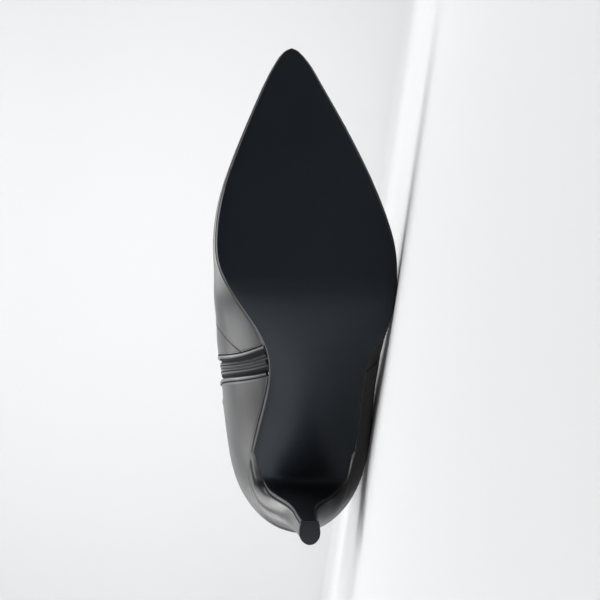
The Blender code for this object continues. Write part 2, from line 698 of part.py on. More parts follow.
def make_slider(collection, cutters):
    """The slider: a plate with two side walls over the chain, and a bridge that holds the pull."""
    half = SLIDER_WIDTH / 2
    inside = ZIP_CHAIN_WIDTH / 2 + SLIDER_CLEARANCE
    top = SLIDER_TOP - PULL_AXIS_OUT
    under = SLIDER_UNDER - PULL_AXIS_OUT
    foot = SLIDER_FOOT - PULL_AXIS_OUT
    outside = [(-half, foot), (-half, top - SLIDER_BEVEL), (-half + SLIDER_BEVEL, top)]
    outside += [(-a, o) for a, o in reversed(outside)]
    hollow = [(-inside, foot), (-inside, under - SLIDER_FILLET), (-inside + SLIDER_FILLET, under)]
    hollow += [(-a, o) for a, o in reversed(hollow)]
    profile = outside + hollow[::-1]
    rings = [[(a, along, o) for a, o in profile] for along in (-SLIDER_LENGTH / 2, SLIDER_LENGTH / 2)]
    slider = closed_loft("zip_slider", rings, DARK_METAL, collection)
    bridge_top = BRIDGE_TOP - PULL_AXIS_OUT
    bridge_under = BRIDGE_UNDER - PULL_AXIS_OUT
    outer = [(-BRIDGE_HALF, under + BRIDGE_SUNK), (BRIDGE_HALF, under + BRIDGE_SUNK)]
    outer += [(BRIDGE_HALF, bridge_top - BRIDGE_BEVEL), (BRIDGE_HALF - BRIDGE_BEVEL, bridge_top)]
    outer += [(-BRIDGE_HALF + BRIDGE_BEVEL, bridge_top), (-BRIDGE_HALF, bridge_top - BRIDGE_BEVEL)]
    reach = BRIDGE_HALF - BRIDGE_THICK
    inner = [(-reach, top - BRIDGE_SUNK), (reach, top - BRIDGE_SUNK), (reach, bridge_under - BRIDGE_FILLET)]
    inner += [(reach - BRIDGE_FILLET, bridge_under), (-reach + BRIDGE_FILLET, bridge_under)]
    inner += [(-reach, bridge_under - BRIDGE_FILLET)]
    sides = (-BRIDGE_WIDTH / 2, BRIDGE_WIDTH / 2)
    loops = [[(side, a, o) for a, o in loop] for loop in (outer, inner) for side in sides]
    bridge = frame_solid("zip_bridge", [loops[0], loops[1], loops[3], loops[2]], None, cutters)
    bridge.hide_render = True
    bridge.display_type = "WIRE"
    join = slider.modifiers.new("bridge", "BOOLEAN")
    join.operation = "UNION"
    join.object = bridge
    return slider, bridge


def frame_solid(name, loops, finish, collection):
    """A solid frame: a ring with a hole, skinned round from loop to loop and back to the first."""
    bm = bmesh.new()
    skin(bm, loops + [loops[0]], closed=True)
    return mesh_object(name, bm, finish, collection)


def rounded_loop(half, low, high, radius):
    """A rounded rectangle round the axis across: half its width, and from low to high along."""
    corners = [(half, high, 0.0), (-half, high, 90.0), (-half, low, 180.0), (half, low, 270.0)]
    loop = []
    for across, along, first in corners:
        middle = (across - math.copysign(radius, across), along - (radius if along == high else -radius))
        for turn in np.radians(np.linspace(first, first + 90.0, CORNER_STEPS)):
            loop.append((middle[0] + radius * math.cos(turn), middle[1] + radius * math.sin(turn)))
    return loop


def make_pull(collection):
    """The pull tab: a plate whose window passes round the slider's bridge. Its end bar turns under it."""
    outer = rounded_loop(PULL_WIDTH / 2, -PULL_LENGTH, PULL_BAR / 2, PULL_ROUND)
    window = rounded_loop(PULL_WINDOW / 2, -PULL_WINDOW_END, -PULL_BAR / 2, PULL_WINDOW_ROUND)
    half = PULL_THICK / 2
    loops = [[(a, t, o) for a, t in loop] for loop, o in ((outer, -half), (outer, half))]
    loops += [[(a, t, o) for a, t in loop] for loop, o in ((window, half), (window, -half))]
    return frame_solid("zip_pull", loops, DARK_METAL, collection)


# Laying the boot down


def lay_down(carrier, objects):
    """Turn the boot on its outer side, settle it, and put the middle of its box over the origin."""
    turn = Matrix.Rotation(LIE_ROLL, 4, "Y") @ Matrix.Rotation(LIE_PITCH, 4, "X")
    turn = turn @ Matrix.Rotation(LIE_TURN, 4, "X")
    bpy.context.view_layer.update()
    corners = [turn @ obj.matrix_world @ v.co for obj in objects for v in obj.data.vertices]
    spread = np.array([tuple(corner) for corner in corners])
    low, high = spread.min(axis=0), spread.max(axis=0)
    middle = (low + high) / 2
    carrier.matrix_world = Matrix.Translation((-middle[0], -middle[1], -low[2])) @ turn


def build():
    for obj in list(bpy.data.objects):
        bpy.data.objects.remove(obj)
    boot = bpy.data.collections.new(PART_NAME)
    cutters = bpy.data.collections.new("Cutters")
    for collection in (boot, cutters):
        bpy.context.scene.collection.children.link(collection)
    upper = make_upper(boot)
    pieces = [upper, make_outsole(boot), make_heel(boot), make_top_lift(boot), make_insole(boot)]
    pieces += make_zip(boot)
    slider, bridge = make_slider(boot, cutters)
    pull = make_pull(boot)
    helpers = [make_zip_cutter(upper, cutters), bridge]
    for obj in (slider, bridge):
        obj.matrix_world = zip_matrix()
    pull.matrix_world = zip_matrix() @ Matrix.Rotation(PULL_REST_TILT, 4, "X")
    pieces += [slider, pull]
    carrier = bpy.data.objects.new("boot carrier", None)
    boot.objects.link(carrier)
    lay_down(carrier, pieces)
    for obj in pieces + helpers:
        obj.parent = carrier


build()
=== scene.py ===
"""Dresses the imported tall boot: leather upper, sole, covered heel and zip, lying on a pale studio floor.

Shapes are worked out standing, in millimetres: x from the back of the heel to the toe, y to the outer side
of the foot, z up from the floor under the sole. The boot is then laid on its outer side, as its solids are.
"""

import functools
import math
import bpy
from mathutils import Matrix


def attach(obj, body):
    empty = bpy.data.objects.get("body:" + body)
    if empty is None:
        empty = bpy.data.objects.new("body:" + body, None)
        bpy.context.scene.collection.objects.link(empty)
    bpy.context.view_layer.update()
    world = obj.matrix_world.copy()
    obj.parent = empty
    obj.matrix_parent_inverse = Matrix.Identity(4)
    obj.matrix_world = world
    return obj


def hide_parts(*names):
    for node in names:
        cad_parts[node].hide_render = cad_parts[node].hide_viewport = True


bl_info = {
    "name": "Tall boot dressing",
    "version": (1, 0, 0),
    "blender": (4, 5, 0),
    "location": "View3D > Sidebar > Boot",
    "description": "Dresses a tall boot's solids in leather, sole and zip, and sets its stage",
    "category": "Object",
}

from collections import namedtuple

import bpy
import numpy as np
from mathutils import Matrix, Vector
from mathutils.bvhtree import BVHTree

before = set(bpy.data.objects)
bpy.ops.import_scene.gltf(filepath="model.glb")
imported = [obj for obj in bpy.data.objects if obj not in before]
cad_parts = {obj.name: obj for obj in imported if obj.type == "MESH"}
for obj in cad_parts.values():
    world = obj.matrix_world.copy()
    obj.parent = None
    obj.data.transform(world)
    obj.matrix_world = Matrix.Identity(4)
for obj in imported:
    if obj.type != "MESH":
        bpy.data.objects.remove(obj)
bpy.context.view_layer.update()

# How the boot lies in the row's frame
MM = 0.001
LIE_TURN = math.radians(-90.0)
LIE_ROLL = math.radians(-8.145)
LIE_PITCH = math.radians(3.049)
LIE_SHIFT = (-0.113507, -0.239037, 0.025105)
LAID = Matrix.Translation(LIE_SHIFT) @ Matrix.Rotation(LIE_ROLL, 4, "Y")
LAID = LAID @ Matrix.Rotation(LIE_PITCH + LIE_TURN, 4, "X") @ Matrix.Scale(MM, 4)

# The last's sections, toe to collar: the low and high point of each seen from the side, the half widths at
# the rim and at the widest height, that height, the sideways place of the top, and how peaked it is
Section = namedtuple(
    "Section", "name low_x low_z high_x high_z rim_in rim_out side_in side_out widest ridge crown"
)
FOOT = [
    Section("toe tip", 239.4, 9.5, 238.4, 13.6, 4.3, -4.3, 4.3, -4.3, 2.5, -4.3, 1.0),
    Section("toe nose", 238.3, 9.2, 236.6, 17.6, 7.0, -1.6, 7.2, -1.4, 3.5, -4.3, 1.0),
    Section("toe round", 235.8, 8.6, 233.2, 21.0, 9.7, 1.1, 10.1, 1.5, 4.5, -4.3, 1.0),
    Section("toe point", 230.5, 7.5, 227.0, 24.2, 13.0, 5.0, 13.6, 5.6, 5.5, -4.3, 1.05),
    Section("toe", 222.0, 6.0, 218.0, 27.6, 17.2, 9.7, 18.0, 10.5, 6.5, -4.4, 1.1),
    Section("toe box", 206.0, 4.3, 202.0, 32.6, 24.0, 18.6, 25.0, 19.5, 7.5, -4.6, 1.15),
    Section("vamp front", 187.5, 3.2, 183.5, 38.2, 31.3, 28.1, 32.5, 29.1, 8.5, -5.0, 1.2),
    Section("vamp", 169.0, 2.9, 166.0, 44.6, 37.0, 36.3, 38.4, 37.2, 9.5, -5.5, 1.2),
    Section("inner ball", 151.0, 2.9, 150.5, 52.5, 39.3, 42.3, 40.8, 42.9, 11.0, -6.0, 1.2),
    Section("outer ball", 137.0, 2.9, 139.5, 63.5, 37.4, 43.9, 40.6, 44.4, 14.0, -6.0, 1.15),
    Section("instep front", 123.4, 4.4, 129.5, 77.5, 29.9, 43.3, 41.2, 44.2, 24.0, -6.0, 1.1),
    Section("instep", 109.4, 12.0, 119.5, 96.0, 20.4, 39.9, 41.2, 43.1, 36.0, -5.0, 1.05),
    Section("arch front", 95.0, 25.2, 111.5, 116.5, 15.6, 33.2, 42.0, 41.7, 46.0, -4.0, 1.0),
    Section("arch", 79.6, 40.2, 105.5, 136.5, 16.8, 30.4, 41.7, 41.2, 52.0, -3.0, 0.98),
    Section("arch back", 63.8, 55.2, 101.5, 154.5, 20.6, 29.5, 41.5, 40.6, 56.0, -2.0, 0.95),
    Section("heel breast", 47.3, 69.0, 98.8, 170.0, 24.4, 28.3, 41.4, 40.6, 60.0, -1.0, 0.93),
    Section("heel seat", 33.0, 78.2, 97.3, 182.0, 25.8, 26.8, 41.0, 40.4, 63.0, 0.0, 0.92),
    Section("seat round", 17.8, 84.8, 96.7, 192.0, 22.3, 23.0, 40.2, 39.8, 66.0, 0.0, 0.91),
    Section("seat end", 7.8, 87.8, 96.6, 199.5, 12.9, 13.4, 39.6, 39.3, 69.0, 0.0, 0.91),
    Section("seat back", 4.2, 88.5, 96.7, 205.0, 0.0, 0.0, 39.2, 39.0, 70.5, 0.0, 0.91),
]
LEG = [
    Section("counter low", 0.9, 95.6, 97.0, 209.2, 0.0, 0.0, 39.1, 38.9, 71.0, 0.0, 0.91),
    Section("counter", 0.0, 105.0, 97.3, 214.6, 0.0, 0.0, 39.1, 38.8, 71.0, 0.0, 0.91),
    Section("heel top", 2.2, 126.0, 97.8, 223.0, 0.0, 0.0, 39.4, 39.0, 69.0, 0.0, 0.92),
    Section("ankle", 6.5, 152.0, 98.8, 236.0, 0.0, 0.0, 40.4, 39.8, 65.0, 0.0, 0.93),
    Section("leg low", 9.0, 191.0, 101.5, 258.0, 0.0, 0.0, 43.0, 42.0, 59.0, 0.0, 0.95),
    Section("shin", 5.5, 246.0, 107.0, 292.0, 0.0, 0.0, 47.2, 46.0, 56.0, 0.0, 0.97),
    Section("calf low", -1.5, 304.0, 112.5, 332.0, 0.0, 0.0, 50.9, 49.5, 58.0, 0.0, 1.0),
    Section("calf", -6.0, 361.0, 115.5, 376.0, 0.0, 0.0, 53.0, 51.0, 60.5, 0.0, 1.0),
    Section("collar low", -6.0, 422.0, 116.0, 428.0, 0.0, 0.0, 54.4, 52.0, 61.0, 0.0, 1.0),
    Section("collar", -4.5, 478.0, 115.5, 478.0, 0.0, 0.0, 55.2, 52.5, 60.0, 0.0, 1.0),
]
ROWS = FOOT + LEG
FOOT_NAMES = [row.name for row in FOOT]
HEEL_ROW = len(FOOT) - 1
FLAP_ROW = FOOT_NAMES.index("heel breast")
WAIST_ROWS = (FOOT_NAMES.index("outer ball"), FOOT_NAMES.index("arch front"))
COLLAR_Z = LEG[-1].low_z

# Sole and heel, in millimetres
GAP = 0.3
TREAD_THICK = 2.6
WAIST_THICK = 2.0
FLAP_THICK = 1.4
FLAP_MARGIN = 0.15
FLAP_EDGE_SHARE = 0.6
FLAT_RISE = 3.02
TIP_THICK = 6.0
# The edge of the heel's top as (in, down), and the edges of its tip as (in, up)
HEEL_EDGE = ((0.8, 0.0), (0.3, 0.14), (0.0, 0.5))
TIP_EDGE = ((0.45, 0.0), (0.16, 0.12), (0.0, 0.5), (0.0, TIP_THICK - 0.5), (0.2, TIP_THICK - 0.1))
HEEL_SEAT_FRONT = 47.0
HEEL_WIDEST = 0.45
CUP_FULLNESS = 0.4
HEEL_EASE_ROWS = 4
HEEL_EASE_PASSES = 30
ROUND_ROWS = (4, 8)
SOLE_SWELL = {
    "instep front": 0.4,
    "instep": 1.2,
    "arch front": 2.2,
    "arch": 2.8,
    "arch back": 2.8,
    "heel breast": 2.4,
}
FlapRow = namedtuple("FlapRow", "x z half_in half_out lean swell")
FLAP = [
    FlapRow(42.0, 69.6, 23.0, 26.6, 0.0, 1.9),
    FlapRow(36.4, 72.6, 21.4, 25.0, 0.2, 1.5),
    FlapRow(31.4, 73.6, 19.4, 22.6, 0.4, 1.2),
    FlapRow(27.8, 70.6, 17.2, 19.4, 0.6, 0.9),
    FlapRow(25.9, 64.2, 14.2, 15.8, 0.9, 0.7),
    FlapRow(24.8, 56.0, 10.8, 12.2, 1.2, 0.5),
    FlapRow(24.0, 45.4, 7.6, 7.2, 1.6, 0.4),
    FlapRow(23.2, 32.0, 5.6, 5.0, 2.2, 0.3),
    FlapRow(22.5, 18.0, 4.7, 4.4, 2.9, 0.2),
    FlapRow(22.1, 6.3, 4.1, 4.1, 3.9, 0.2),
]
HeelRow = namedtuple("HeelRow", "flap_row back_x back_z half")
HEEL = [
    HeelRow(1, 5.1, 82.6, 25.2),
    HeelRow(2, 5.6, 79.0, 24.0),
    HeelRow(3, 6.3, 73.2, 21.2),
    HeelRow(4, 7.1, 66.0, 17.0),
    HeelRow(5, 8.0, 57.6, 12.6),
    HeelRow(6, 9.0, 47.4, 8.6),
    HeelRow(7, 10.1, 33.4, 6.2),
    HeelRow(8, 11.1, 18.6, 5.2),
    HeelRow(9, 11.9, 6.3, 4.85),
]
# The sole's edge from its top down to its face: how far in from the outline, and the share of its depth
SOLE_EDGE = ((0.4, 0.0), (0.4, 0.48), (0.5, 0.6), (1.15, 0.98), (1.3, 1.0))

# The zip, in millimetres: its line seen from the side, and its parts out from the leather's face
ZIP_FOOT_X = 89.6
ZIP_FLARE = 4.2
ZIP_FLARE_RUN = 12.0
ZIP_FOOT_Z = 28.0
ZIP_HEAD_X = 56.0
ZIP_BEND_HEIGHT = 190.0
ZIP_BEND_POWER = 2.2
ZIP_HALF = 5.8
ZIP_SPREAD = 0.3
ZIP_SPREAD_RUN = 14.0
ZIP_HEAD_MARGIN = 3.0
TAPE_DEPTH = 1.3
TAPE_THICK = 0.7
ZIP_SLANT_RUN = 16.0

# Steps of the finer meshes
ROW_STEPS = 8
SIDE_STEPS = 52
HALVINGS = 40
CAD_ROW_STEPS = 2
EASE_ROWS = 6
EASE_PASSES = 12
EASE_SHARE = 0.4
SOLE_ACROSS = 18
RING_STEPS = 6
RUN_PROBE = 0.02
HEEL_ROUND = 22
FOLD_ROWS = 9
FOLD_PASSES = 16
ZIP_POINTS = 400
ZIP_PROBE = 0.5
ZIP_SEARCH_ROWS = 5.0
SEAT_SEARCH_ROWS = 6.0
START_POINTS = 49
EDGE_POINTS = 300
TAPE_ROWS = 240
TAPE_ACROSS = 13
CORD_ROWS = 200
CORD_ROUND = 6
CREASE_POINTS = 60
NEAR_ZIP = 12.0
MERGE = 2e-6


# Curves and the last's surface


def laid(points):
    """Standing millimetres to metres in the row's frame."""
    turn = np.array(LAID)
    return np.asarray(points, dtype=float) @ turn[:3, :3].T + turn[:3, 3]


def unit(vectors):
    return vectors / np.linalg.norm(vectors, axis=-1, keepdims=True)


def walk(points):
    """The distance walked along a line of points, at each of them."""
    return np.concatenate([[0.0], np.cumsum(np.linalg.norm(np.diff(points, axis=0), axis=1))])


def read(column, walked, distance):
    """A column of vectors along a line, read at a distance walked or at many."""
    return np.stack([np.interp(distance, walked, column[:, k]) for k in range(column.shape[1])], axis=-1)


def turning_point(near, far, before):
    """Where before turns from true to false on the way from near to far, found by halving."""
    for _ in range(HALVINGS):
        middle = (near + far) / 2
        if before(middle):
            near = middle
        else:
            far = middle
    return far


def natural_spline(values):
    """The second derivatives of the smoothest curve through values, one step apart."""
    values = np.asarray(values, dtype=float)
    count = len(values)
    system = np.eye(count)
    right = np.zeros_like(values)
    for i in range(1, count - 1):
        system[i, i - 1 : i + 2] = (1.0, 4.0, 1.0)
        right[i] = 6.0 * (values[i - 1] - 2.0 * values[i] + values[i + 1])
    return np.linalg.solve(system, right.reshape(count, -1)).reshape(values.shape)


def spline_value(values, bends, at):
    i = min(max(int(at), 0), len(values) - 2)
    b = at - i
    a = 1.0 - b
    cubic = (a**3 - a) * bends[i] + (b**3 - b) * bends[i + 1]
    return a * values[i] + b * values[i + 1] + cubic / 6.0


def through(values, places):
    """The smoothest curve through values, read at places counted in steps between them."""
    values = np.asarray(values, dtype=float)
    bends = natural_spline(values)
    return np.array([spline_value(values, bends, at) for at in places])


def smooth_columns(rows, names):
    columns = {name: [getattr(row, name) for row in rows] for name in names}
    return {name: (values, natural_spline(values)) for name, values in columns.items()}


SHAPE = smooth_columns(ROWS, [n for n in Section._fields if n != "name"])
RIMS = smooth_columns(FOOT, ["rim_in", "rim_out", "low_x", "low_z"])


def section_at(at):
    """The section at a place between the rows: at 0 the toe tip, at HEEL_ROW the back of the heel seat."""
    found = {name: spline_value(*column, at) for name, column in SHAPE.items()}
    if at >= HEEL_ROW:
        found.update(rim_in=0.0, rim_out=0.0, ridge=0.0)
    else:
        found.update({name: spline_value(*column, at) for name, column in RIMS.items()})
    return Section(name="", **found)


def section_line(section):
    """The section's low point, direction and length, seen from the side."""
    low = np.array([section.low_x, section.low_z])
    reach = np.array([section.high_x, section.high_z]) - low
    length = np.hypot(*reach)
    return low, reach / length, length


def side_points(section, inner, ups):
    """Points up one side of a section: a cut ellipse below its widest height, a peaked one above."""
    low, direction, length = section_line(section)
    ups = np.asarray(ups, dtype=float)
    ridge = -section.ridge if inner else section.ridge
    rim = (section.rim_in if inner else section.rim_out) - ridge
    side = (section.side_in if inner else section.side_out) - ridge
    cut = math.sqrt(max(0.0, 1.0 - (rim / side) ** 2)) if side > rim else 0.0
    rise = cut * np.clip(1.0 - ups / section.widest, 0.0, 1.0)
    share = np.clip((ups - section.widest) / (length - section.widest), 0.0, 1.0) ** (1.0 / section.crown)
    below = side * np.sqrt(1.0 - rise**2)
    above = side * np.sqrt(1.0 - share**2) ** section.crown
    half = ridge + np.where(ups <= section.widest, below, above)
    along = low[None, :] + direction[None, :] * ups[:, None]
    return np.stack([along[:, 0], -half if inner else half, along[:, 1]], axis=1)


def evenly(points, count):
    """A line of points resampled to evenly spaced ones."""
    walked = walk(points)
    return read(points, walked, np.linspace(0.0, walked[-1], count))


def side_curve(section, inner, steps):
    length = section_line(section)[2]
    quarter = np.linspace(0.0, math.pi / 2, 3 * steps)
    lower = section.widest * (1.0 - np.cos(quarter))
    upper = section.widest + (length - section.widest) * np.sin(quarter[1:]) ** section.crown
    return evenly(side_points(section, inner, np.concatenate([lower, upper])), steps + 1)


@functools.lru_cache
def leather_grid():
    """The leather's outer face: a row for each section, from the inner rim over the ridge to the outer."""
    rows = []
    for at in np.linspace(0.0, len(ROWS) - 1, (len(ROWS) - 1) * ROW_STEPS + 1):
        section = section_at(at)
        inner = side_curve(section, True, SIDE_STEPS)
        outer = side_curve(section, False, SIDE_STEPS)
        rows.append(np.concatenate([inner, outer[-2::-1]]))
    grid = np.array(rows)
    finer = ROW_STEPS // CAD_ROW_STEPS
    heel = HEEL_ROW * ROW_STEPS
    first, last = heel - EASE_ROWS * finer, heel + EASE_ROWS * finer + 1
    share = EASE_SHARE * np.sin(np.linspace(0.0, math.pi, grid.shape[1]))[None, :, None]
    for _ in range(EASE_PASSES * finer * finer):
        bend = grid[first - 1 : last - 1] + grid[first + 1 : last + 1] - 2.0 * grid[first:last]
        grid[first:last] += share * bend
    return grid


def grid_normals(grid):
    normals = np.cross(np.gradient(grid, axis=1), np.gradient(grid, axis=0))
    return normals / np.maximum(np.linalg.norm(normals, axis=2, keepdims=True), 1e-9)


@functools.lru_cache
def leather_tree():
    """The leather's outer face, to put points down on."""
    grid = leather_grid()
    count = grid.shape[1]
    quads = []
    for r in range(grid.shape[0] - 1):
        starts = range(r * count, r * count + count - 1)
        quads += [(k, k + 1, k + 1 + count, k + count) for k in starts]
    return BVHTree.FromPolygons([tuple(point) for point in grid.reshape(-1, 3)], quads)


def rim_outline(places, inset):
    """The sole's edge on both sides at the given places, moved inwards by a distance in plan."""
    fine = np.linspace(0.0, HEEL_ROW, 20 * HEEL_ROW + 1)
    sections = [section_at(at) for at in fine]
    inner = np.array([(s.low_x, -s.rim_in) for s in sections])
    outer = np.array([(s.low_x, s.rim_out) for s in sections])
    loop = np.concatenate([inner[::-1], outer[1:]])
    run = unit(np.gradient(loop, axis=0))
    moved = loop + inset * np.stack([-run[:, 1], run[:, 0]], axis=1)
    toe = len(inner) - 1
    return [read(half, fine, places) for half in (moved[toe::-1], moved[toe:])]


@functools.lru_cache
def rim_profile():
    sections = [section_at(at) for at in np.linspace(HEEL_ROW, 0.0, 10 * HEEL_ROW + 1)]
    return [s.low_x for s in sections], [s.low_z for s in sections]


def rim_height(x):
    """The height of the upper's rim above the standing floor at a distance from the back of the heel."""
    return np.interp(x, *rim_profile())


# The zip's line


def zip_x(z):
    """The zip's line seen from the side: back from the arch, up, then back to the middle of the shaft."""
    share = math.exp(-((max(z - ZIP_FOOT_Z, 0.0) / ZIP_BEND_HEIGHT) ** ZIP_BEND_POWER))
    flare = ZIP_FLARE * math.exp(-(z - ZIP_FOOT_Z) / ZIP_FLARE_RUN)
    return ZIP_HEAD_X + (ZIP_FOOT_X - ZIP_HEAD_X) * share + flare


def zip_crossing(section):
    """How far up a section the zip's line crosses it: below 0 where it passes under the rim."""
    low, direction, length = section_line(section)
    if low[0] > zip_x(low[1]):
        return -1.0

    def behind(up):
        x, z = low + direction * up
        return x < zip_x(z)

    return turning_point(0.0, length, behind)


@functools.lru_cache
def zip_line():
    """Points of the zip's line, the ways across, along and out at each, and the distance walked."""
    first = turning_point(
        FLAP_ROW - ZIP_SEARCH_ROWS, float(FLAP_ROW), lambda at: zip_crossing(section_at(at)) < 0.0
    )
    points, ups = [], []
    for share in np.linspace(0.0, 1.0, ZIP_POINTS):
        section = section_at(first + (len(ROWS) - 1 - first) * share**2)
        up = zip_crossing(section)
        low, here, high = side_points(section, True, [max(up - ZIP_PROBE, 0.0), up, up + ZIP_PROBE])
        points.append(here)
        ups.append(high - low)
    points = np.array(points)
    along = unit(np.gradient(points, axis=0))
    out = np.cross(along, np.array(ups))
    out = unit(-np.sign(out[-1, 1]) * out)
    return points, np.cross(along, out), along, out, walk(points)


def zip_length():
    return zip_line()[4][-1]


def zip_frame(distance):
    """The place and the ways across, along and out at a distance up the zip from the sole."""
    *columns, walked = zip_line()
    within = min(max(distance, 1.0), walked[-1] - 1.0)
    place, across, along, out = (read(column, walked, within) for column in columns)
    return place + along * (distance - within), across, along, out


def zip_start(offset):
    """The distance up the zip where the line at an offset from its middle leaves the rim."""

    def below(distance):
        place, across, _, _ = zip_frame(distance)
        x, _, z = place + across * offset
        return z < rim_height(x)

    return turning_point(-ZIP_SLANT_RUN, ZIP_SLANT_RUN, below)


@functools.lru_cache
def zip_starts():
    offsets = np.linspace(-2.0 * ZIP_HALF, 2.0 * ZIP_HALF, START_POINTS)
    return offsets, [zip_start(offset) for offset in offsets]


def spread(distance):
    """How much wider than its usual width the zip lies open towards the sole."""
    return 1.0 + ZIP_SPREAD * np.exp(-np.maximum(distance, 0.0) / ZIP_SPREAD_RUN)


def zip_place(distance, offset, out):
    """A point beside the zip's line. Near the sole all distances are counted from the slanted rim."""
    wide = offset * spread(distance)
    slanted = distance + np.interp(wide, *zip_starts()) * max(0.0, 1.0 - distance / (2 * ZIP_SLANT_RUN))
    place, across, _, way_out = zip_frame(slanted)
    return place + across * wide + way_out * out


# Meshes


def deselect():
    if bpy.context.object and bpy.context.object.mode != "OBJECT":
        bpy.ops.object.mode_set(mode="OBJECT")
    bpy.ops.object.select_all(action="DESELECT")


def only(obj):
    deselect()
    obj.select_set(True)
    bpy.context.view_layer.objects.active = obj


def edit(obj, *steps):
    """Run edit-mode steps, each a function, on all of a piece."""
    only(obj)
    bpy.ops.object.mode_set(mode="EDIT")
    bpy.ops.mesh.select_all(action="SELECT")
    for step in steps:
        step()
    bpy.ops.object.mode_set(mode="OBJECT")


def edit_faces(obj, chosen, *steps):
    """Run edit-mode steps on the chosen faces of a piece: a mask of its faces."""
    only(obj)
    bpy.ops.object.mode_set(mode="EDIT")
    bpy.ops.mesh.select_mode(type="FACE")
    bpy.ops.mesh.select_all(action="DESELECT")
    bpy.ops.object.mode_set(mode="OBJECT")
    obj.data.polygons.foreach_set("select", np.asarray(chosen, dtype=bool))
    bpy.ops.object.mode_set(mode="EDIT")
    for step in steps:
        step()
    bpy.ops.object.mode_set(mode="OBJECT")


def merge():
    bpy.ops.mesh.remove_doubles(threshold=MERGE)


def outwards():
    bpy.ops.mesh.normals_make_consistent(inside=False)


def close_ends():
    bpy.ops.mesh.select_mode(type="EDGE")
    bpy.ops.mesh.select_all(action="DESELECT")
    bpy.ops.mesh.select_non_manifold(
        extend=False, use_wire=False, use_multi_face=False, use_non_contiguous=False
    )
    bpy.ops.mesh.fill_holes(sides=0)
    bpy.ops.mesh.select_all(action="SELECT")


def modify(obj, kind, **settings):
    """Add a modifier with settings and apply it."""
    only(obj)
    modifier = obj.modifiers.new(kind.title(), kind)
    for key, value in settings.items():
        setattr(modifier, key, value)
    bpy.ops.object.modifier_apply(modifier=modifier.name)


def bevel(obj, width, degrees=40.0):
    """Round the edges that are sharper than an angle."""
    angle = math.radians(degrees)
    modify(obj, "BEVEL", width=width, segments=2, limit_method="ANGLE", angle_limit=angle)


def smooth(obj, degrees=60.0):
    only(obj)
    bpy.ops.object.shade_smooth_by_angle(angle=math.radians(degrees))


def grid_piece(name, rows):
    """A piece shaped from a flat grid: rows of points, standing, in millimetres."""
    rows = np.asarray(rows, dtype=float)
    deselect()
    bpy.ops.mesh.primitive_grid_add(x_subdivisions=rows.shape[1] - 1, y_subdivisions=rows.shape[0] - 1)
    obj = bpy.context.object
    if len(obj.data.vertices) != rows.shape[0] * rows.shape[1]:
        raise RuntimeError(f"the grid for {name} has {len(obj.data.vertices)} points")
    obj.data.vertices.foreach_set("co", laid(rows.reshape(-1, 3)).ravel())
    obj.data.update()
    obj.name = name
    obj.data.name = name
    return obj


def loft(name, rings, edges=()):
    """A closed solid through rings of points, its ends filled. Columns in edges take the second finish."""
    rings = np.asarray(rings, dtype=float)
    obj = grid_piece(name, np.concatenate([rings, rings[:, :1]], axis=1))
    slots = np.zeros((len(rings) - 1, rings.shape[1]), dtype=np.int32)
    slots[:, list(edges)] = 1
    obj.data.polygons.foreach_set("material_index", slots.ravel())
    edit(obj, merge, close_ends, outwards)
    return obj


def bead(size, rings):
    """A small rounded model, stretched from a ball to a size along x, y and z."""
    deselect()
    bpy.ops.mesh.primitive_uv_sphere_add(segments=8, ring_count=rings, radius=0.5)
    bpy.ops.transform.resize(value=size)
    bpy.ops.object.transform_apply(location=False, rotation=False, scale=True)
    return bpy.context.object


def placed(point, along, side, out):
    """A standing place with x along, y sideways and z out."""
    matrix = Matrix((along, side, out)).transposed().to_4x4()
    matrix.translation = Vector(point)
    return matrix


def repeated(name, model, matrices):
    """One piece of many copies of a small model, each at a standing place. The model is used up."""
    verts = np.array([v.co for v in model.data.vertices])
    faces = [tuple(face.vertices) for face in model.data.polygons]
    bpy.data.objects.remove(model)
    ones = np.concatenate([verts, np.ones((len(verts), 1))], axis=1)
    points = np.concatenate([(ones @ np.array(LAID @ matrix).T)[:, :3] for matrix in matrices])
    polygons = [tuple(i + k * len(verts) for i in face) for k in range(len(matrices)) for face in faces]
    mesh = bpy.data.meshes.new(name)
    mesh.from_pydata(points.tolist(), [], polygons)
    mesh.update()
    obj = bpy.data.objects.new(name, mesh)
    bpy.context.scene.collection.objects.link(obj)
    return obj


def copy_of(node, name):
    """A piece that starts as a copy of a CAD node's mesh, merged to whole faces."""
    obj = bpy.data.objects.new(name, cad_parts[node].data.copy())
    obj.data.name = name
    obj.data.materials.clear()
    bpy.context.scene.collection.objects.link(obj)
    edit(
        obj,
        lambda: bpy.ops.mesh.remove_doubles(threshold=1e-5),
        lambda: bpy.ops.mesh.dissolve_limited(angle_limit=math.radians(1.0)),
    )
    return obj


def dressed(obj, slot, *finishes, body="boot", nodes=()):
    """Give a piece its finishes and its body, and hide the CAD nodes that it stands for. Its slot is not
    used.
    """
    for made in finishes:
        obj.data.materials.append(made)
    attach(obj, body)
    if nodes:
        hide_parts(*nodes)


# Lines and strips on the leather

Path = namedtuple("Path", "points along side out")


def softened(column, passes):
    """A line of vectors with each averaged with its neighbours."""
    column = np.array(column, dtype=float)
    for _ in range(passes):
        column[1:-1] = (column[:-2] + 2.0 * column[1:-1] + column[2:]) / 4.0
    return column


def path_of(points, outs):
    along = unit(np.gradient(points, axis=0))
    outs = unit(outs - along * np.sum(outs * along, axis=1, keepdims=True))
    return Path(points, along, np.cross(along, outs), outs)


def put_down(points, point_passes, out_passes):
    """A path along points put down on the leather, softened."""
    spots = [leather_tree().find_nearest(Vector(point)) for point in points]
    on_leather = softened([spot[0] for spot in spots], point_passes)
    return path_of(on_leather, softened([spot[1] for spot in spots], out_passes))


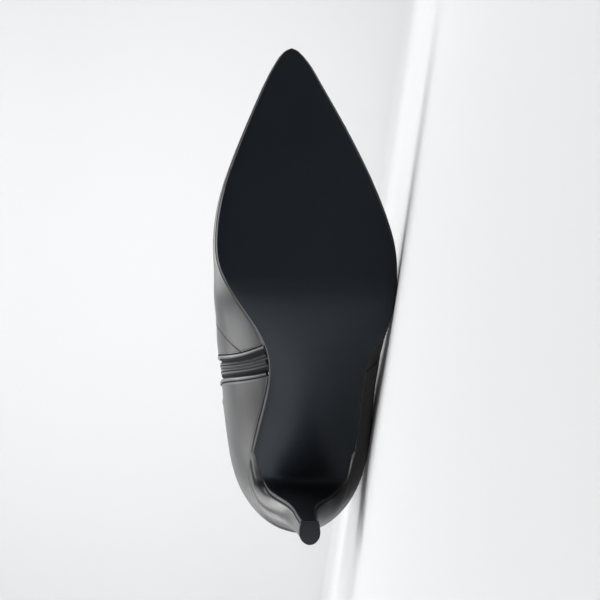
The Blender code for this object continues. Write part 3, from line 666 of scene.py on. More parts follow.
def leather_path(rough, step):
    """A path on the leather through rough points, read a step apart."""
    fine = through(rough, np.linspace(0.0, len(rough) - 1, 30 * len(rough)))
    return put_down(evenly(fine, int(walk(fine)[-1] / step) + 1), 2, 6)


def strip(name, path, profile):
    """A closed strip along a path. Its profile is a loop of (sideways, out) points."""
    loop = np.array(profile)
    rings = path.points[:, None, :] + path.side[:, None, :] * loop[None, :, :1]
    return loft(name, rings + path.out[:, None, :] * loop[None, :, 1:])


def path_places(path, pitch, sideways, out):
    """Places a pitch apart along a path, moved sideways and out."""
    walked = walk(path.points)
    places = []
    for distance in np.arange(pitch / 2, walked[-1] - pitch / 2, pitch):
        point, along, side, way = (read(column, walked, distance) for column in path)
        places.append(placed(point + side * sideways + way * out, along, side, way))
    return places


# Finishes


def add_node(tree, kind, sockets=None, **settings):
    """A shader node with its settings and its plain socket values."""
    made = tree.nodes.new(kind)
    for key, value in settings.items():
        setattr(made, key, value)
    for key, value in (sockets or {}).items():
        made.inputs[key].default_value = value
    return made


# A texture's node group, the socket for its fineness, and its outputs for relief and for tone
Texture = namedtuple("Texture", "group fineness relief tone")


def new_texture(name, fineness, relief, tone):
    """An empty texture, with its tree, its input node and its output node."""
    tree = bpy.data.node_groups.new(name, "ShaderNodeTree")
    tree.interface.new_socket(name="Vector", in_out="INPUT", socket_type="NodeSocketVector")
    tree.interface.new_socket(name=fineness, in_out="INPUT", socket_type="NodeSocketFloat")
    for label in dict.fromkeys((tone, relief)):
        tree.interface.new_socket(name=label, in_out="OUTPUT", socket_type="NodeSocketFloat")
    texture = Texture(tree, fineness, relief, tone)
    return texture, tree, tree.nodes.new("NodeGroupInput"), tree.nodes.new("NodeGroupOutput")


@functools.lru_cache
def grain():
    """Fine leather grain: small rounded cells with drifting pores, and a broad mottle."""
    texture, tree, given, result = new_texture("leather grain", "Cells", "Height", "Mottle")
    link = tree.links.new
    drift = add_node(tree, "ShaderNodeTexNoise", {"Scale": 260.0, "Detail": 2.0})
    shift = add_node(tree, "ShaderNodeVectorMath", {"Scale": 0.0009}, operation="SCALE")
    moved = add_node(tree, "ShaderNodeVectorMath", operation="ADD")
    rounded = {"Smoothness": 0.6, "Randomness": 0.9}
    cells = add_node(tree, "ShaderNodeTexVoronoi", rounded, feature="SMOOTH_F1")
    pores = add_node(tree, "ShaderNodeTexNoise", {"Scale": 1900.0, "Detail": 2.0, "Roughness": 0.6})
    share = add_node(tree, "ShaderNodeMath", {1: 0.35}, operation="MULTIPLY")
    height = add_node(tree, "ShaderNodeMath", operation="SUBTRACT")
    broad = add_node(tree, "ShaderNodeTexNoise", {"Scale": 34.0, "Detail": 4.0, "Roughness": 0.55})
    for noise in (drift, pores, broad):
        link(given.outputs["Vector"], noise.inputs["Vector"])
    link(drift.outputs["Color"], shift.inputs[0])
    link(given.outputs["Vector"], moved.inputs[0])
    link(shift.outputs["Vector"], moved.inputs[1])
    link(moved.outputs["Vector"], cells.inputs["Vector"])
    link(given.outputs["Cells"], cells.inputs["Scale"])
    link(pores.outputs["Fac"], share.inputs[0])
    link(share.outputs["Value"], height.inputs[0])
    link(cells.outputs["Distance"], height.inputs[1])
    link(height.outputs["Value"], result.inputs["Height"])
    link(broad.outputs["Fac"], result.inputs["Mottle"])
    return texture


@functools.lru_cache
def smudges():
    """Soft smudges and fine scratches, for surfaces that are handled or walked on."""
    texture, tree, given, result = new_texture("soft smudges", "Scale", "Scratch", "Mask")
    link = tree.links.new
    blots = add_node(tree, "ShaderNodeTexNoise", {"Detail": 5.0, "Roughness": 0.62, "Distortion": 0.4})
    drawn_out = {"Scale": (90.0, 700.0, 700.0), "Rotation": (0.2, 0.3, 0.5)}
    stretch = add_node(tree, "ShaderNodeMapping", drawn_out)
    lines = add_node(tree, "ShaderNodeTexNoise", {"Scale": 3.0, "Detail": 3.0, "Roughness": 0.7})
    thin = add_node(tree, "ShaderNodeMapRange", {"From Min": 0.56, "From Max": 0.8})
    link(given.outputs["Vector"], blots.inputs["Vector"])
    link(given.outputs["Scale"], blots.inputs["Scale"])
    link(given.outputs["Vector"], stretch.inputs["Vector"])
    link(stretch.outputs["Vector"], lines.inputs["Vector"])
    link(lines.outputs["Fac"], thin.inputs["Value"])
    link(blots.outputs["Fac"], result.inputs["Mask"])
    link(thin.outputs["Result"], result.inputs["Scratch"])
    return texture


@functools.lru_cache
def weave():
    """A plain weave: two sets of crossing threads."""
    texture, tree, given, result = new_texture("plain weave", "Threads", "Height", "Height")
    link = tree.links.new
    crossing = add_node(tree, "ShaderNodeMath", operation="MAXIMUM")
    uneven = {"Distortion": 0.3, "Detail": 1.0}
    for place, direction in enumerate(("X", "Y")):
        wave = add_node(tree, "ShaderNodeTexWave", uneven, bands_direction=direction)
        link(given.outputs["Vector"], wave.inputs["Vector"])
        link(given.outputs["Threads"], wave.inputs["Scale"])
        link(wave.outputs["Fac"], crossing.inputs[place])
    link(crossing.outputs["Value"], result.inputs["Height"])
    return texture


def finish(name, texture, fineness, colour, shades, roughness, bump, **shader_sockets):
    """A material whose tone and roughness follow a texture's tone, and whose bump follows its relief.

    shades are two factors on the colour, bump is (strength, depth in metres).
    """
    found = bpy.data.materials.get(name)
    if found:
        return found
    made = bpy.data.materials.new(name)
    made.use_nodes = True
    tree = made.node_tree
    link = tree.links.new
    shader = tree.nodes["Principled BSDF"]
    coordinates = add_node(tree, "ShaderNodeTexCoord")
    effect = add_node(tree, "ShaderNodeGroup", node_tree=texture.group)
    effect.inputs[texture.fineness].default_value = fineness
    link(coordinates.outputs["Object"], effect.inputs["Vector"])
    low, high = ((*(channel * shade for channel in colour[:3]), 1.0) for shade in shades)
    tint = add_node(tree, "ShaderNodeMix", {"A": low, "B": high}, data_type="RGBA")
    link(effect.outputs[texture.tone], tint.inputs["Factor"])
    link(tint.outputs["Result"], shader.inputs["Base Color"])
    gloss = add_node(tree, "ShaderNodeMapRange", {"To Min": roughness[0], "To Max": roughness[1]})
    link(effect.outputs[texture.tone], gloss.inputs["Value"])
    link(gloss.outputs["Result"], shader.inputs["Roughness"])
    relief = add_node(tree, "ShaderNodeBump", {"Strength": bump[0], "Distance": bump[1]})
    link(effect.outputs[texture.relief], relief.inputs["Height"])
    link(relief.outputs["Normal"], shader.inputs["Normal"])
    for key, plain in shader_sockets.items():
        shader.inputs[key.replace("_", " ").title().replace("Ior", "IOR")].default_value = plain
    return made


def leather(colours):
    gloss, relief = (0.31, 0.41), (0.22, 0.0001)
    coat = {"coat_weight": 0.15, "coat_roughness": 0.3}
    return finish("black leather", grain(), 1150.0, colours.leather, (0.75, 1.3), gloss, relief, **coat)


def lining(colours):
    return finish("lining", grain(), 900.0, colours.lining, (0.8, 1.2), (0.62, 0.78), (0.2, 0.0001))


def sole_leather(colours):
    gloss, relief = (0.34, 0.44), (0.06, 0.00004)
    sheen = {"specular_ior_level": 0.11, "specular_tint": (0.8, 0.9, 1.0, 1.0)}
    return finish("satin sole", smudges(), 26.0, colours.sole, (0.85, 1.2), gloss, relief, **sheen)


# The sole's dyed edge, a shade lighter than the sole: partly its dye, partly a painted highlight along the
# rim
def sole_edge_and_rim_highlight(colours):
    gloss, relief = (0.36, 0.5), (0.04, 0.00004)
    dull = {"specular_ior_level": 0.2}
    return finish("burnished sole edge with painted highlight", smudges(), 90.0, colours.edge, (0.8, 1.2), gloss, relief, **dull)


def tip_rubber(colours):
    gloss, relief = (0.5, 0.68), (0.1, 0.0001)
    dull = {"specular_ior_level": 0.25}
    return finish("heel tip rubber", smudges(), 160.0, colours.sole, (0.9, 1.5), gloss, relief, **dull)


# Stitches and cords, and also the dull dark strips of painted shade along the seams and the zip's stitches
def thread_and_groove_shade(colours):
    gloss, relief = (0.8, 0.95), (0.3, 0.0001)
    dull = {"specular_ior_level": 0.06}
    return finish("sewing thread", weave(), 900.0, colours.thread_and_groove_shade, (0.6, 1.3), gloss, relief, **dull)


def tape_cloth(colours):
    gloss, relief = (0.75, 0.9), (0.5, 0.00015)
    dull = {"specular_ior_level": 0.2}
    return finish("zip tape cloth", weave(), 620.0, colours.tape, (0.5, 1.3), gloss, relief, **dull)


# The coil's grey is its dark nylon lightened into a painted highlight, standing for the gleam on each loop
def coil_nylon_and_highlight(colours):
    gloss, relief = (0.3, 0.45), (0.05, 0.00005)
    return finish("zip coil nylon with painted highlight", smudges(), 300.0, colours.coil, (0.8, 1.25), gloss, relief)


def dark_metal(colours):
    gloss, relief = (0.24, 0.4), (0.05, 0.00005)
    return finish("dark metal", smudges(), 220.0, colours.metal, (0.8, 1.2), gloss, relief, metallic=1.0)


def studio_paper(colours):
    return finish("studio paper", smudges(), 3.0, colours.floor, (0.985, 1.0), (0.7, 0.8), (0.0, 0.0001))


# What a user would change


def length(name, description, millimetres):
    return bpy.props.FloatProperty(
        name=name, description=description, default=millimetres * MM, min=0.0, unit="LENGTH", precision=5
    )


def paint(name, description, colour):
    return bpy.props.FloatVectorProperty(
        name=name, description=description, default=colour, min=0.0, max=1.0, subtype="COLOR", size=3
    )


class BootSizes(bpy.types.PropertyGroup):
    """Sizes of the boot's made details"""

    wall: length("Wall", "Thickness of the leather and its lining", 1.8)
    edge_round: length("Edge round", "Rounding of the leather's cut edges", 0.5)
    crease_depth: length("Crease depth", "Depth of the soft creases at the ankle", 0.7)
    stitch: length("Stitch", "Length of one stitch", 2.3)
    stitch_pitch: length("Stitch pitch", "Distance from stitch to stitch", 3.0)
    collar_stitch: length("Collar stitch drop", "How far below the collar's edge its stitching runs", 4.0)
    coil_pitch: length("Coil pitch", "Distance from loop to loop of the zip's coil", 1.25)
    metal_round: length("Metal round", "Rounding of the slider's and pull's edges", 0.25)


class BootColours(bpy.types.PropertyGroup):
    """Colours of the boot and its stage"""

    leather: paint("Leather", "Upper and heel cover", (0.014, 0.014, 0.0155))
    lining: paint("Lining", "Inside of the upper and the insole", (0.05, 0.047, 0.045))
    sole: paint("Sole", "Outsole and heel tip", (0.0105, 0.0125, 0.0155))
    # Partly the edge's dye, partly a painted highlight: a shade lighter than the sole so the rim looks lit
    edge: paint("Sole edge", "Dyed edge of the outsole", (0.016, 0.016, 0.018))
    # The stitching's colour, also used for the dark strips of painted shade along the seams
    thread_and_groove_shade: paint("Thread", "Stitching", (0.012, 0.012, 0.013))
    tape: paint("Tape", "Woven tape of the zip", (0.007, 0.007, 0.008))
    # Light grey: the coil's dark nylon lightened into a painted highlight on its loops
    coil: paint("Coil", "Coil chain of the zip", (0.13, 0.13, 0.135))
    metal: paint("Metal", "Slider and pull", (0.16, 0.16, 0.165))
    floor: paint("Floor", "Floor and backdrop", (0.52, 0.522, 0.526))


# Where the leather is sewn or creased, in standing millimetres
VAMP_SEAM = [
    (97.5, -27.0, 31.3),
    (99.7, -29.9, 32.4),
    (102.2, -32.9, 33.8),
    (104.1, -34.8, 34.9),
    (105.8, -36.3, 36.0),
    (108.5, -38.2, 38.0),
    (110.8, -39.6, 41.5),
    (113.2, -40.6, 46.5),
    (116.0, -40.8, 52.5),
    (122.0, -40.0, 60.0),
    (132.0, -33.0, 65.0),
    (142.0, -20.0, 61.5),
    (148.0, -6.0, 54.5),
    (142.0, 10.0, 61.5),
    (132.0, 27.0, 65.0),
    (121.0, 38.0, 62.0),
    (109.0, 42.0, 57.0),
    (99.0, 40.6, 52.5),
    (93.5, 37.6, 46.4),
    (91.4, 34.5, 36.6),
    (89.4, 31.8, 31.0),
    (87.9, 29.6, 27.6),
]
Crease = namedtuple("Crease", "points width share")
CREASES = [
    Crease([(92.0, -27.0, 158.0), (102.5, -1.0, 150.0), (92.0, 27.0, 159.0)], 6.0, 1.0),
    Crease([(88.0, -28.0, 186.0), (98.0, 0.0, 178.0), (87.0, 28.0, 188.0)], 6.5, 0.9),
    Crease([(84.0, 31.0, 212.0), (96.5, 6.0, 205.0), (92.0, -20.0, 209.0)], 6.0, 0.6),
    Crease([(112.0, -22.0, 122.0), (110.0, -3.0, 118.5), (110.0, 20.0, 124.0)], 6.0, 0.6),
    Crease([(18.0, -26.0, 146.0), (6.0, 0.0, 148.0), (18.0, 27.0, 144.0)], 7.0, 0.5),
]
# Profiles of what is sewn on, and of the dark strips of painted shade along the stitch lines, as (sideways,
# out) in millimetres
LIP_PROFILE = [
    (-0.6, -1.0),
    (-0.78, -0.2),
    (-0.6, 0.36),
    (-0.1, 0.66),
    (0.5, 0.6),
    (0.9, 0.2),
    (1.1, -0.1),
    (1.1, -0.5),
]
PANEL_PROFILE = [
    (1.65, -0.4),
    (1.65, 0.04),
    (1.85, 0.13),
    (2.2, 0.12),
    (2.9, -0.06),
    (2.8, -0.5),
]
# A thin dark strip in the thread's finish along each row of zip stitches: painted shade of the stitched
# channel
GROOVE_SHADE_PROFILE = [
    (-0.4, -0.3),
    (-0.4, 0.03),
    (-0.2, 0.07),
    (0.2, 0.07),
    (0.4, 0.03),
    (0.4, -0.3),
]
# A raised dark strip in the thread's finish along each seam line: painted shade standing for the seam's
# groove, not a cut groove
SEAM_GROOVE_SHADE = [
    (-0.7, -0.3),
    (-0.62, 0.06),
    (-0.4, 0.15),
    (0.4, 0.15),
    (0.62, 0.06),
    (0.7, -0.3),
]
# Stitches, coil, cords and tape, in millimetres
STITCH_OFFSET = 1.38
COIL_HALF = 1.5
COIL_LOOP = (0.6, 3.3, 0.95)
COIL_OUT = -0.6
COIL_LEAN = 0.16
CORD_SIZE = (0.42, 0.26)
CORD_OUT = 0.3
STITCH_SIZE = (0.46, 0.34)
STITCH_OUT = 0.16
STITCH_CLEAR = 2.0
SEAM_STEP = 1.2
COLLAR_STEP = 1.5
COLLAR_POINTS = 48
COLLAR_DROP = 0.3
TAPE_MARGIN = 0.05
TAPE_RIB = (0.12, 2.2)
TAPE_BELOW = -1.2
COIL_FIRST = 1.0
COIL_LAST = 2.0
CORD_FIRST = 0.4
# A crease's ridges: their height and how far out they lie, as shares of the crease's depth and width
CREASE_RIDGE = (0.45, 1.9)
CREASE_FADE = 0.7
# The sunk panel of the pull tab, and the insole's edge, in millimetres
TAB_MARGIN = 0.6
TAB_SLOPE = 0.2
TAB_SUNK = 0.2
INSOLE_ROUND = 0.4


def creased_grid(depth):
    """The leather's outer face with soft troughs where the ankle bends, each between two low ridges."""
    grid = leather_grid().copy()
    normals = grid_normals(grid)
    flat = grid.reshape(-1, 3)
    push = np.zeros(len(flat))
    ridge_high, ridge_out = CREASE_RIDGE
    for crease in CREASES:
        line = through(crease.points, np.linspace(0.0, len(crease.points) - 1, CREASE_POINTS))
        near = np.full(len(flat), np.inf)
        share = np.zeros(len(flat))
        for at, point in zip(np.linspace(0.0, 1.0, len(line)), line):
            distance = np.linalg.norm(flat - point, axis=1)
            closer = distance < near
            near[closer] = distance[closer]
            share[closer] = math.sin(math.pi * at) ** CREASE_FADE
        trough = np.exp(-((near / crease.width) ** 2))
        ridge = ridge_high * np.exp(-(((near - ridge_out * crease.width) / crease.width) ** 2))
        push += depth * crease.share * share * (ridge - trough)
    return grid + normals * push.reshape(grid.shape[:2])[:, :, None]


def beside_zip(points):
    """For each point its distance sideways from the zip's line, up it and out from it, and the way across."""
    places, across, along, out, walked = zip_line()
    near = np.array([np.argmin(np.sum((places - point) ** 2, axis=1)) for point in points])
    reach = points - places[near]
    sideways = np.sum(reach * across[near], axis=1)
    up = walked[near] + np.sum(reach * along[near], axis=1)
    return sideways, up, np.sum(reach * out[near], axis=1), across[near]


def opened_at_zip(grid):
    """A mask of the grid's faces in the zip's opening. The points on their rim are moved to its edge."""
    half = grid[:, : SIDE_STEPS + 1]
    sideways, up, out, across = beside_zip(half.reshape(-1, 3))
    near = (np.abs(out) < NEAR_ZIP) & (up > -NEAR_ZIP)
    sideways = np.where(near, sideways, np.nan).reshape(half.shape[:2])
    edges = (ZIP_HALF * spread(up)).reshape(sideways.shape)
    share = sideways / edges
    middles = (share[:-1, :-1] + share[1:, :-1] + share[:-1, 1:] + share[1:, 1:]) / 4.0
    opened = np.zeros((grid.shape[0] - 1, grid.shape[1] - 1), dtype=bool)
    opened[:, :SIDE_STEPS] = np.abs(middles) < 1.0
    around = np.zeros(grid.shape[:2])
    gone = np.zeros(grid.shape[:2])
    for row in (0, 1):
        for column in (0, 1):
            corner = (slice(row, row + opened.shape[0]), slice(column, column + opened.shape[1]))
            around[corner] += 1
            gone[corner] += opened
    edge = ((gone > 0) & (gone < around))[:, : SIDE_STEPS + 1]
    move = np.where(edge, np.sign(sideways) * edges - sideways, 0.0)
    half += move[:, :, None] * across.reshape(half.shape)
    return opened


class BOOT_OT_upper(bpy.types.Operator):
    """Shape the leather upper with its lining and the opening for the zip"""

    bl_idname = "boot.upper"
    bl_label = "Upper"

    def execute(self, context):
        sizes, colours = context.scene.boot_sizes, context.scene.boot_colours
        grid = creased_grid(sizes.crease_depth / MM)
        opened = opened_at_zip(grid)
        obj = grid_piece("upper_leather", grid)
        edit_faces(obj, opened.ravel(), lambda: bpy.ops.mesh.delete(type="FACE"))
        edit(obj, merge)
        obj.data.materials.append(leather(colours))
        obj.data.materials.append(lining(colours))
        modify(obj, "SOLIDIFY", thickness=sizes.wall, offset=-1.0, material_offset=1)
        bevel(obj, sizes.edge_round, 50.0)
        smooth(obj, 45.0)
        dressed(obj, "black_leather", nodes=("upper",))
        return {"FINISHED"}


def stitched(name, path, sideways, sizes, colours):
    """A row of stitches along a path."""
    model = bead((sizes.stitch / MM, *STITCH_SIZE), 5)
    obj = repeated(name, model, path_places(path, sizes.stitch_pitch / MM, sideways, STITCH_OUT))
    smooth(obj)
    dressed(obj, "black_leather", thread_and_groove_shade(colours))


def sewn_strip(name, path, profile, made):
    obj = strip(name, path, profile)
    smooth(obj)
    dressed(obj, "black_leather", made)


class BOOT_OT_seams(bpy.types.Operator):
    """Sew the vamp seam, the back seam and the collar's stitching, with a strip of painted shade along each
    seam
    """

    bl_idname = "boot.seams"
    bl_label = "Seams"

    def execute(self, context):
        sizes, colours = context.scene.boot_sizes, context.scene.boot_colours
        back = [(row.low_x, 0.0, row.low_z) for row in LEG]
        back[-1] = (back[-1][0], 0.0, COLLAR_Z - COLLAR_DROP)
        panel = [(a - STITCH_OFFSET, o) for a, o in PANEL_PROFILE]
        for name, rough in (("vamp_seam", VAMP_SEAM), ("back_seam", back)):
            path = leather_path(rough, SEAM_STEP)
            sewn_strip(f"{name}_panel", path, panel, leather(colours))
            # The groove strip is painted shade: a dull dark strip where the seam's groove would lie in shadow
            sewn_strip(f"{name}_groove", path, SEAM_GROOVE_SHADE, thread_and_groove_shade(colours))
        ring = self.collar_ring(COLLAR_Z - sizes.collar_stitch / MM)
        path = leather_path(evenly(ring, COLLAR_POINTS), COLLAR_STEP)
        stitched("collar_stitching", path, 0.0, sizes, colours)
        return {"FINISHED"}

    def collar_ring(self, height):
        """A line round the leather at a height under the collar, from one edge of the zip to the other."""
        low, high = leather_grid()[-ROW_STEPS], leather_grid()[-1]
        share = (height - low[:, 2]) / np.maximum(high[:, 2] - low[:, 2], 1e-6)
        ring = low + (high - low) * share[:, None]
        sideways = beside_zip(ring)[0]
        clear = ZIP_HALF + STITCH_CLEAR
        first = int(np.argmax((sideways > clear) & (np.arange(len(ring)) < SIDE_STEPS)))
        last = first - 1
        while abs(sideways[last]) < clear:
            last -= 1
        return np.concatenate([ring[first:-1], ring[: last + 1]])


def lip_path(sign):
    """The edge of the zip's opening on one side, from the sole to the collar."""
    start = zip_start(sign * ZIP_HALF * spread(0.0))
    rough = []
    for distance in np.linspace(start, zip_length(), EDGE_POINTS):
        place, across, _, _ = zip_frame(distance)
        rough.append(place + across * sign * ZIP_HALF * spread(distance))
    return put_down(rough, 3, 8)


class BOOT_OT_zip_edges(bpy.types.Operator):
    """Fold the leather over at the zip's opening and stitch it down, with a strip of painted shade along the
    stitches
    """

    bl_idname = "boot.zip_edges"
    bl_label = "Zip edges"

    def execute(self, context):
        sizes, colours = context.scene.boot_sizes, context.scene.boot_colours
        # Along the stitches lies a dark strip of painted shade, where the stitched channel would be in shadow
        groove = [(a + STITCH_OFFSET, o) for a, o in GROOVE_SHADE_PROFILE]
        parts = (
            ("edge", LIP_PROFILE, leather(colours)),
            ("panel", PANEL_PROFILE, leather(colours)),
            ("groove", groove, thread_and_groove_shade(colours)),
        )
        for name, sign in (("front", 1.0), ("back", -1.0)):
            path = lip_path(sign)
            for label, profile, made in parts:
                sewn_strip(f"zip_{label}_{name}", path, [(sign * a, o) for a, o in profile], made)
            stitched(f"zip_stitching_{name}", path, sign * STITCH_OFFSET, sizes, colours)
        return {"FINISHED"}


class BOOT_OT_zip(bpy.types.Operator):
    """Weave the zip's tape and lay its coil chain along it"""

    bl_idname = "boot.zip"
    bl_label = "Zip"

    def execute(self, context):
        sizes, colours = context.scene.boot_sizes, context.scene.boot_colours
        head = zip_length() - ZIP_HEAD_MARGIN
        self.weave_tape(head, colours)
        self.lay_coil(head - COIL_LAST, sizes.coil_pitch / MM, colours)
        for name, side in (("front", 1.0), ("back", -1.0)):
            self.lay_cord(f"zip_cord_{name}", side * COIL_HALF, head - COIL_LAST, colours)
        return {"FINISHED"}

    def along_zip(self, name, loop, distances):
        """A solid along the zip. Its profile is a loop of (sideways, out) points."""
        return loft(name, [[zip_place(d, a, o) for a, o in loop] for d in distances])

    def weave_tape(self, head, colours):
        """The tape, with low ribs along it."""
        across = np.linspace(-ZIP_HALF + TAPE_MARGIN, ZIP_HALF - TAPE_MARGIN, TAPE_ACROSS)
        high, wide = TAPE_RIB
        top = [(a, -TAPE_DEPTH + high * math.cos(math.pi * a / wide) ** 2) for a in across]
        loop = top + [(a, -TAPE_DEPTH - TAPE_THICK) for a in across[::-1]]
        tape = self.along_zip("zip_tape_cloth", loop, np.linspace(TAPE_BELOW, head, TAPE_ROWS))
        smooth(tape, 40.0)
        dressed(tape, "zip_tape", tape_cloth(colours), nodes=("zip_tape",))

    def lay_coil(self, last, pitch, colours):
        """Two rows of loops that reach into each other."""
        places = []
        for side, lag in ((1.0, 0.0), (-1.0, 0.5)):
            for distance in np.arange(COIL_FIRST + lag * pitch, last, pitch):
                point = zip_place(distance, side * COIL_HALF, COIL_OUT)
                _, across, along, out = zip_frame(distance)
                lean = Matrix.Rotation(side * COIL_LEAN, 4, "Z")
                stretch = Matrix.Diagonal((1.0, float(spread(distance)), 1.0, 1.0))
                places.append(placed(point, along, -across, out) @ lean @ stretch)
        chain = repeated("zip_coil", bead(COIL_LOOP, 6), places)
        smooth(chain)
        dressed(chain, "zip_chain", coil_nylon_and_highlight(colours), nodes=("zip_chain",))

    def lay_cord(self, name, sideways, last, colours):
        """The cord that sews one row of loops to the tape."""
        wide, high = CORD_SIZE
        turns = np.linspace(0.0, 2.0 * math.pi, CORD_ROUND + 1)[:-1]
        out = COIL_OUT + CORD_OUT
        loop = [(sideways + wide * math.cos(t), out + high * math.sin(t)) for t in turns]
        cord = self.along_zip(name, loop, np.linspace(CORD_FIRST, last, CORD_ROWS))
        smooth(cord)
        dressed(cord, "zip_chain", thread_and_groove_shade(colours))


class BOOT_OT_slider(bpy.types.Operator):
    """Round off the zip's slider and its pull tab, and sink a panel in the tab"""

    bl_idname = "boot.slider"
    bl_label = "Slider and pull"

    def execute(self, context):
        sizes, colours = context.scene.boot_sizes, context.scene.boot_colours
        for node, name, body in (("zip_slider", "slider_body", "boot"), ("zip_pull", "pull_tab", "pull")):
            obj = copy_of(node, name)
            if node == "zip_pull":
                sink_panel(obj)
            bevel(obj, sizes.metal_round)
            smooth(obj, 35.0)
            dressed(obj, "dark_metal", dark_metal(colours), body=body, nodes=(node,))
        return {"FINISHED"}


def sink_panel(obj):
    """Sink a panel in the pull tab's wide upper face."""
    faces = obj.data.polygons
    widest = max(face.area for face in faces)
    outer = max(faces, key=lambda face: (face.area > 0.5 * widest, face.normal.z))
    chosen = [face.index == outer.index for face in faces]
    edit_faces(
        obj,
        chosen,
        lambda: bpy.ops.mesh.inset(thickness=TAB_MARGIN * MM, depth=0.0),
        lambda: bpy.ops.mesh.inset(thickness=TAB_SLOPE * MM, depth=-TAB_SUNK * MM),
    )


def sole_ring(edges, look, swell):
    """A ring round the sole: down one edge, across its swelling face and up the other edge."""
    first, last = edges
    face = []
    for share in np.linspace(0.0, 1.0, SOLE_ACROSS + 1)[1:-1]:
        flat = first[-1] * (1.0 - share) + last[-1] * share
        face.append(flat + look * swell * (1.0 - (2.0 * share - 1.0) ** 2))
    return first + face + last[::-1]


def sole_rings():
    """Rings round the sole, toe to heel breast, then down the flap on the front of the heel."""
    places = np.linspace(0.0, FLAP_ROW, FLAP_ROW * RING_STEPS + 1)
    outlines = [rim_outline(places, inset) for inset, _ in SOLE_EDGE]
    swells = np.array([SOLE_SWELL.get(name, 0.0) for name in FOOT_NAMES])
    rings = []
    for i, at in enumerate(places):
        section = section_at(at)
        ahead, behind = section_at(min(at + RUN_PROBE, HEEL_ROW)), section_at(max(at - RUN_PROBE, 0.0))
        run = unit(np.array([ahead.low_x - behind.low_x, 0.0, ahead.low_z - behind.low_z]))
        down = np.array([run[2], 0.0, -run[0]])
        down *= -np.sign(down[2])
        thick = np.interp(at, WAIST_ROWS, (TREAD_THICK, WAIST_THICK))
        edges = [
            [
                np.array([*outline[side][i], section.low_z - GAP]) + down * thick * depth
                for outline, (_, depth) in zip(outlines, SOLE_EDGE)
            ]
            for side in (0, 1)
        ]
        if section.low_z < FLAT_RISE:
            for edge in edges:
                edge[-1][2] = 0.0
        swell = max(0.0, spline_value(swells, natural_spline(swells), at))
        rings.append(sole_ring(edges, down, swell))
    turn = len(rings)
    rings = np.array(rings + flap_rings())
    bend = slice(turn - FOLD_ROWS, turn + FOLD_ROWS)
    rings[bend, :, ::2] = softened(rings[bend, :, ::2], FOLD_PASSES)
    return rings


def flap_frames():
    """The flap's rows read finely, the line down its face, and the way its face looks along it."""
    places = np.linspace(0.0, len(FLAP) - 1, (len(FLAP) - 1) * RING_STEPS + 1)
    rows = through([tuple(row) for row in FLAP], places)
    line = np.stack([rows[:, 0], 0.0 * rows[:, 0], rows[:, 1]], axis=1)
    run = unit(np.gradient(line, axis=0))
    looks = np.stack([-run[:, 2], 0.0 * run[:, 0], run[:, 0]], axis=1)
    return rows, line, looks


def flap_rings():
    rings = []
    rows, line, looks = flap_frames()
    for (_, _, half_in, half_out, lean, swell), point, look in zip(rows, line, looks):
        edges = []
        for y, sign in ((lean - half_in, 1.0), (lean + half_out, -1.0)):
            edge = [
                point - look * FLAP_THICK * (1.0 - depth) + (0.0, y + sign * inset * FLAP_EDGE_SHARE, 0.0)
                for inset, depth in SOLE_EDGE
            ]
            edges.append(edge)
        rings.append(sole_ring(edges, look, swell))
    return rings


class BOOT_OT_outsole(bpy.types.Operator):
    """Cut the one thin sole: tread, arch and the flap down the front of the heel"""

    bl_idname = "boot.outsole"
    bl_label = "Outsole"

    def execute(self, context):
        colours = context.scene.boot_colours
        rings = sole_rings()
        # The edge's columns take the edge finish, whose lighter tone is partly a painted highlight along the
        # rim
        near = range(len(SOLE_EDGE) - 2)
        far = [len(rings[0]) - 2 - column for column in near]
        obj = loft("outsole_leather", rings, [*near, *far])
        smooth(obj, 28.0)
        dressed(obj, "black_sole", sole_leather(colours), sole_edge_and_rim_highlight(colours), nodes=("outsole",))
        return {"FINISHED"}


def heel_shares():
    """Shares of the way from the heel's front to its back, closer together towards the back."""
    return np.sin(np.linspace(0.0, math.pi / 2, HEEL_ROUND))


def heel_seat():
    """The places along the upper's rim, front to back, that the heel's top edge follows."""
    front = turning_point(
        HEEL_ROW - SEAT_SEARCH_ROWS, float(HEEL_ROW), lambda at: section_at(at).low_x > HEEL_SEAT_FRONT
    )
    places = np.linspace(front, HEEL_ROW, 8 * HEEL_ROUND)
    reach = np.array([section_at(at).low_x for at in places])
    return np.interp(-(reach[0] + (reach[-1] - reach[0]) * heel_shares()), -reach, places)


def heel_ring(front, back, edges, half, lean, roundness, inset=0.0):
    """A ring round the heel: from the flap's edges it swells to its half width and closes round the back."""
    shares = heel_shares()
    inward = unit(back - front) * inset
    middle = [(front + inward) * (1.0 - s) + (back - inward) * s for s in shares]
    before = np.maximum(0.0, 1.0 - shares / HEEL_WIDEST)
    after = np.maximum(0.0, (shares - HEEL_WIDEST) / (1.0 - HEEL_WIDEST))
    sides = []
    for edge, sign in zip(edges, (-1.0, 1.0)):
        cup = (1.0 - shares**2) ** CUP_FULLNESS * (1.0 - (1.0 - edge / half) * before**2)
        stem = np.sqrt(1.0 - before**2 * (1.0 - (edge / half) ** 2)) * np.sqrt(1.0 - after**2)
        reach = (half - inset) * (cup * (1.0 - roundness) + stem * roundness)
        sides.append([m + (0.0, lean + sign * r, 0.0) for m, r in zip(middle, reach)])
    return np.array(sides[0] + sides[1][::-1])


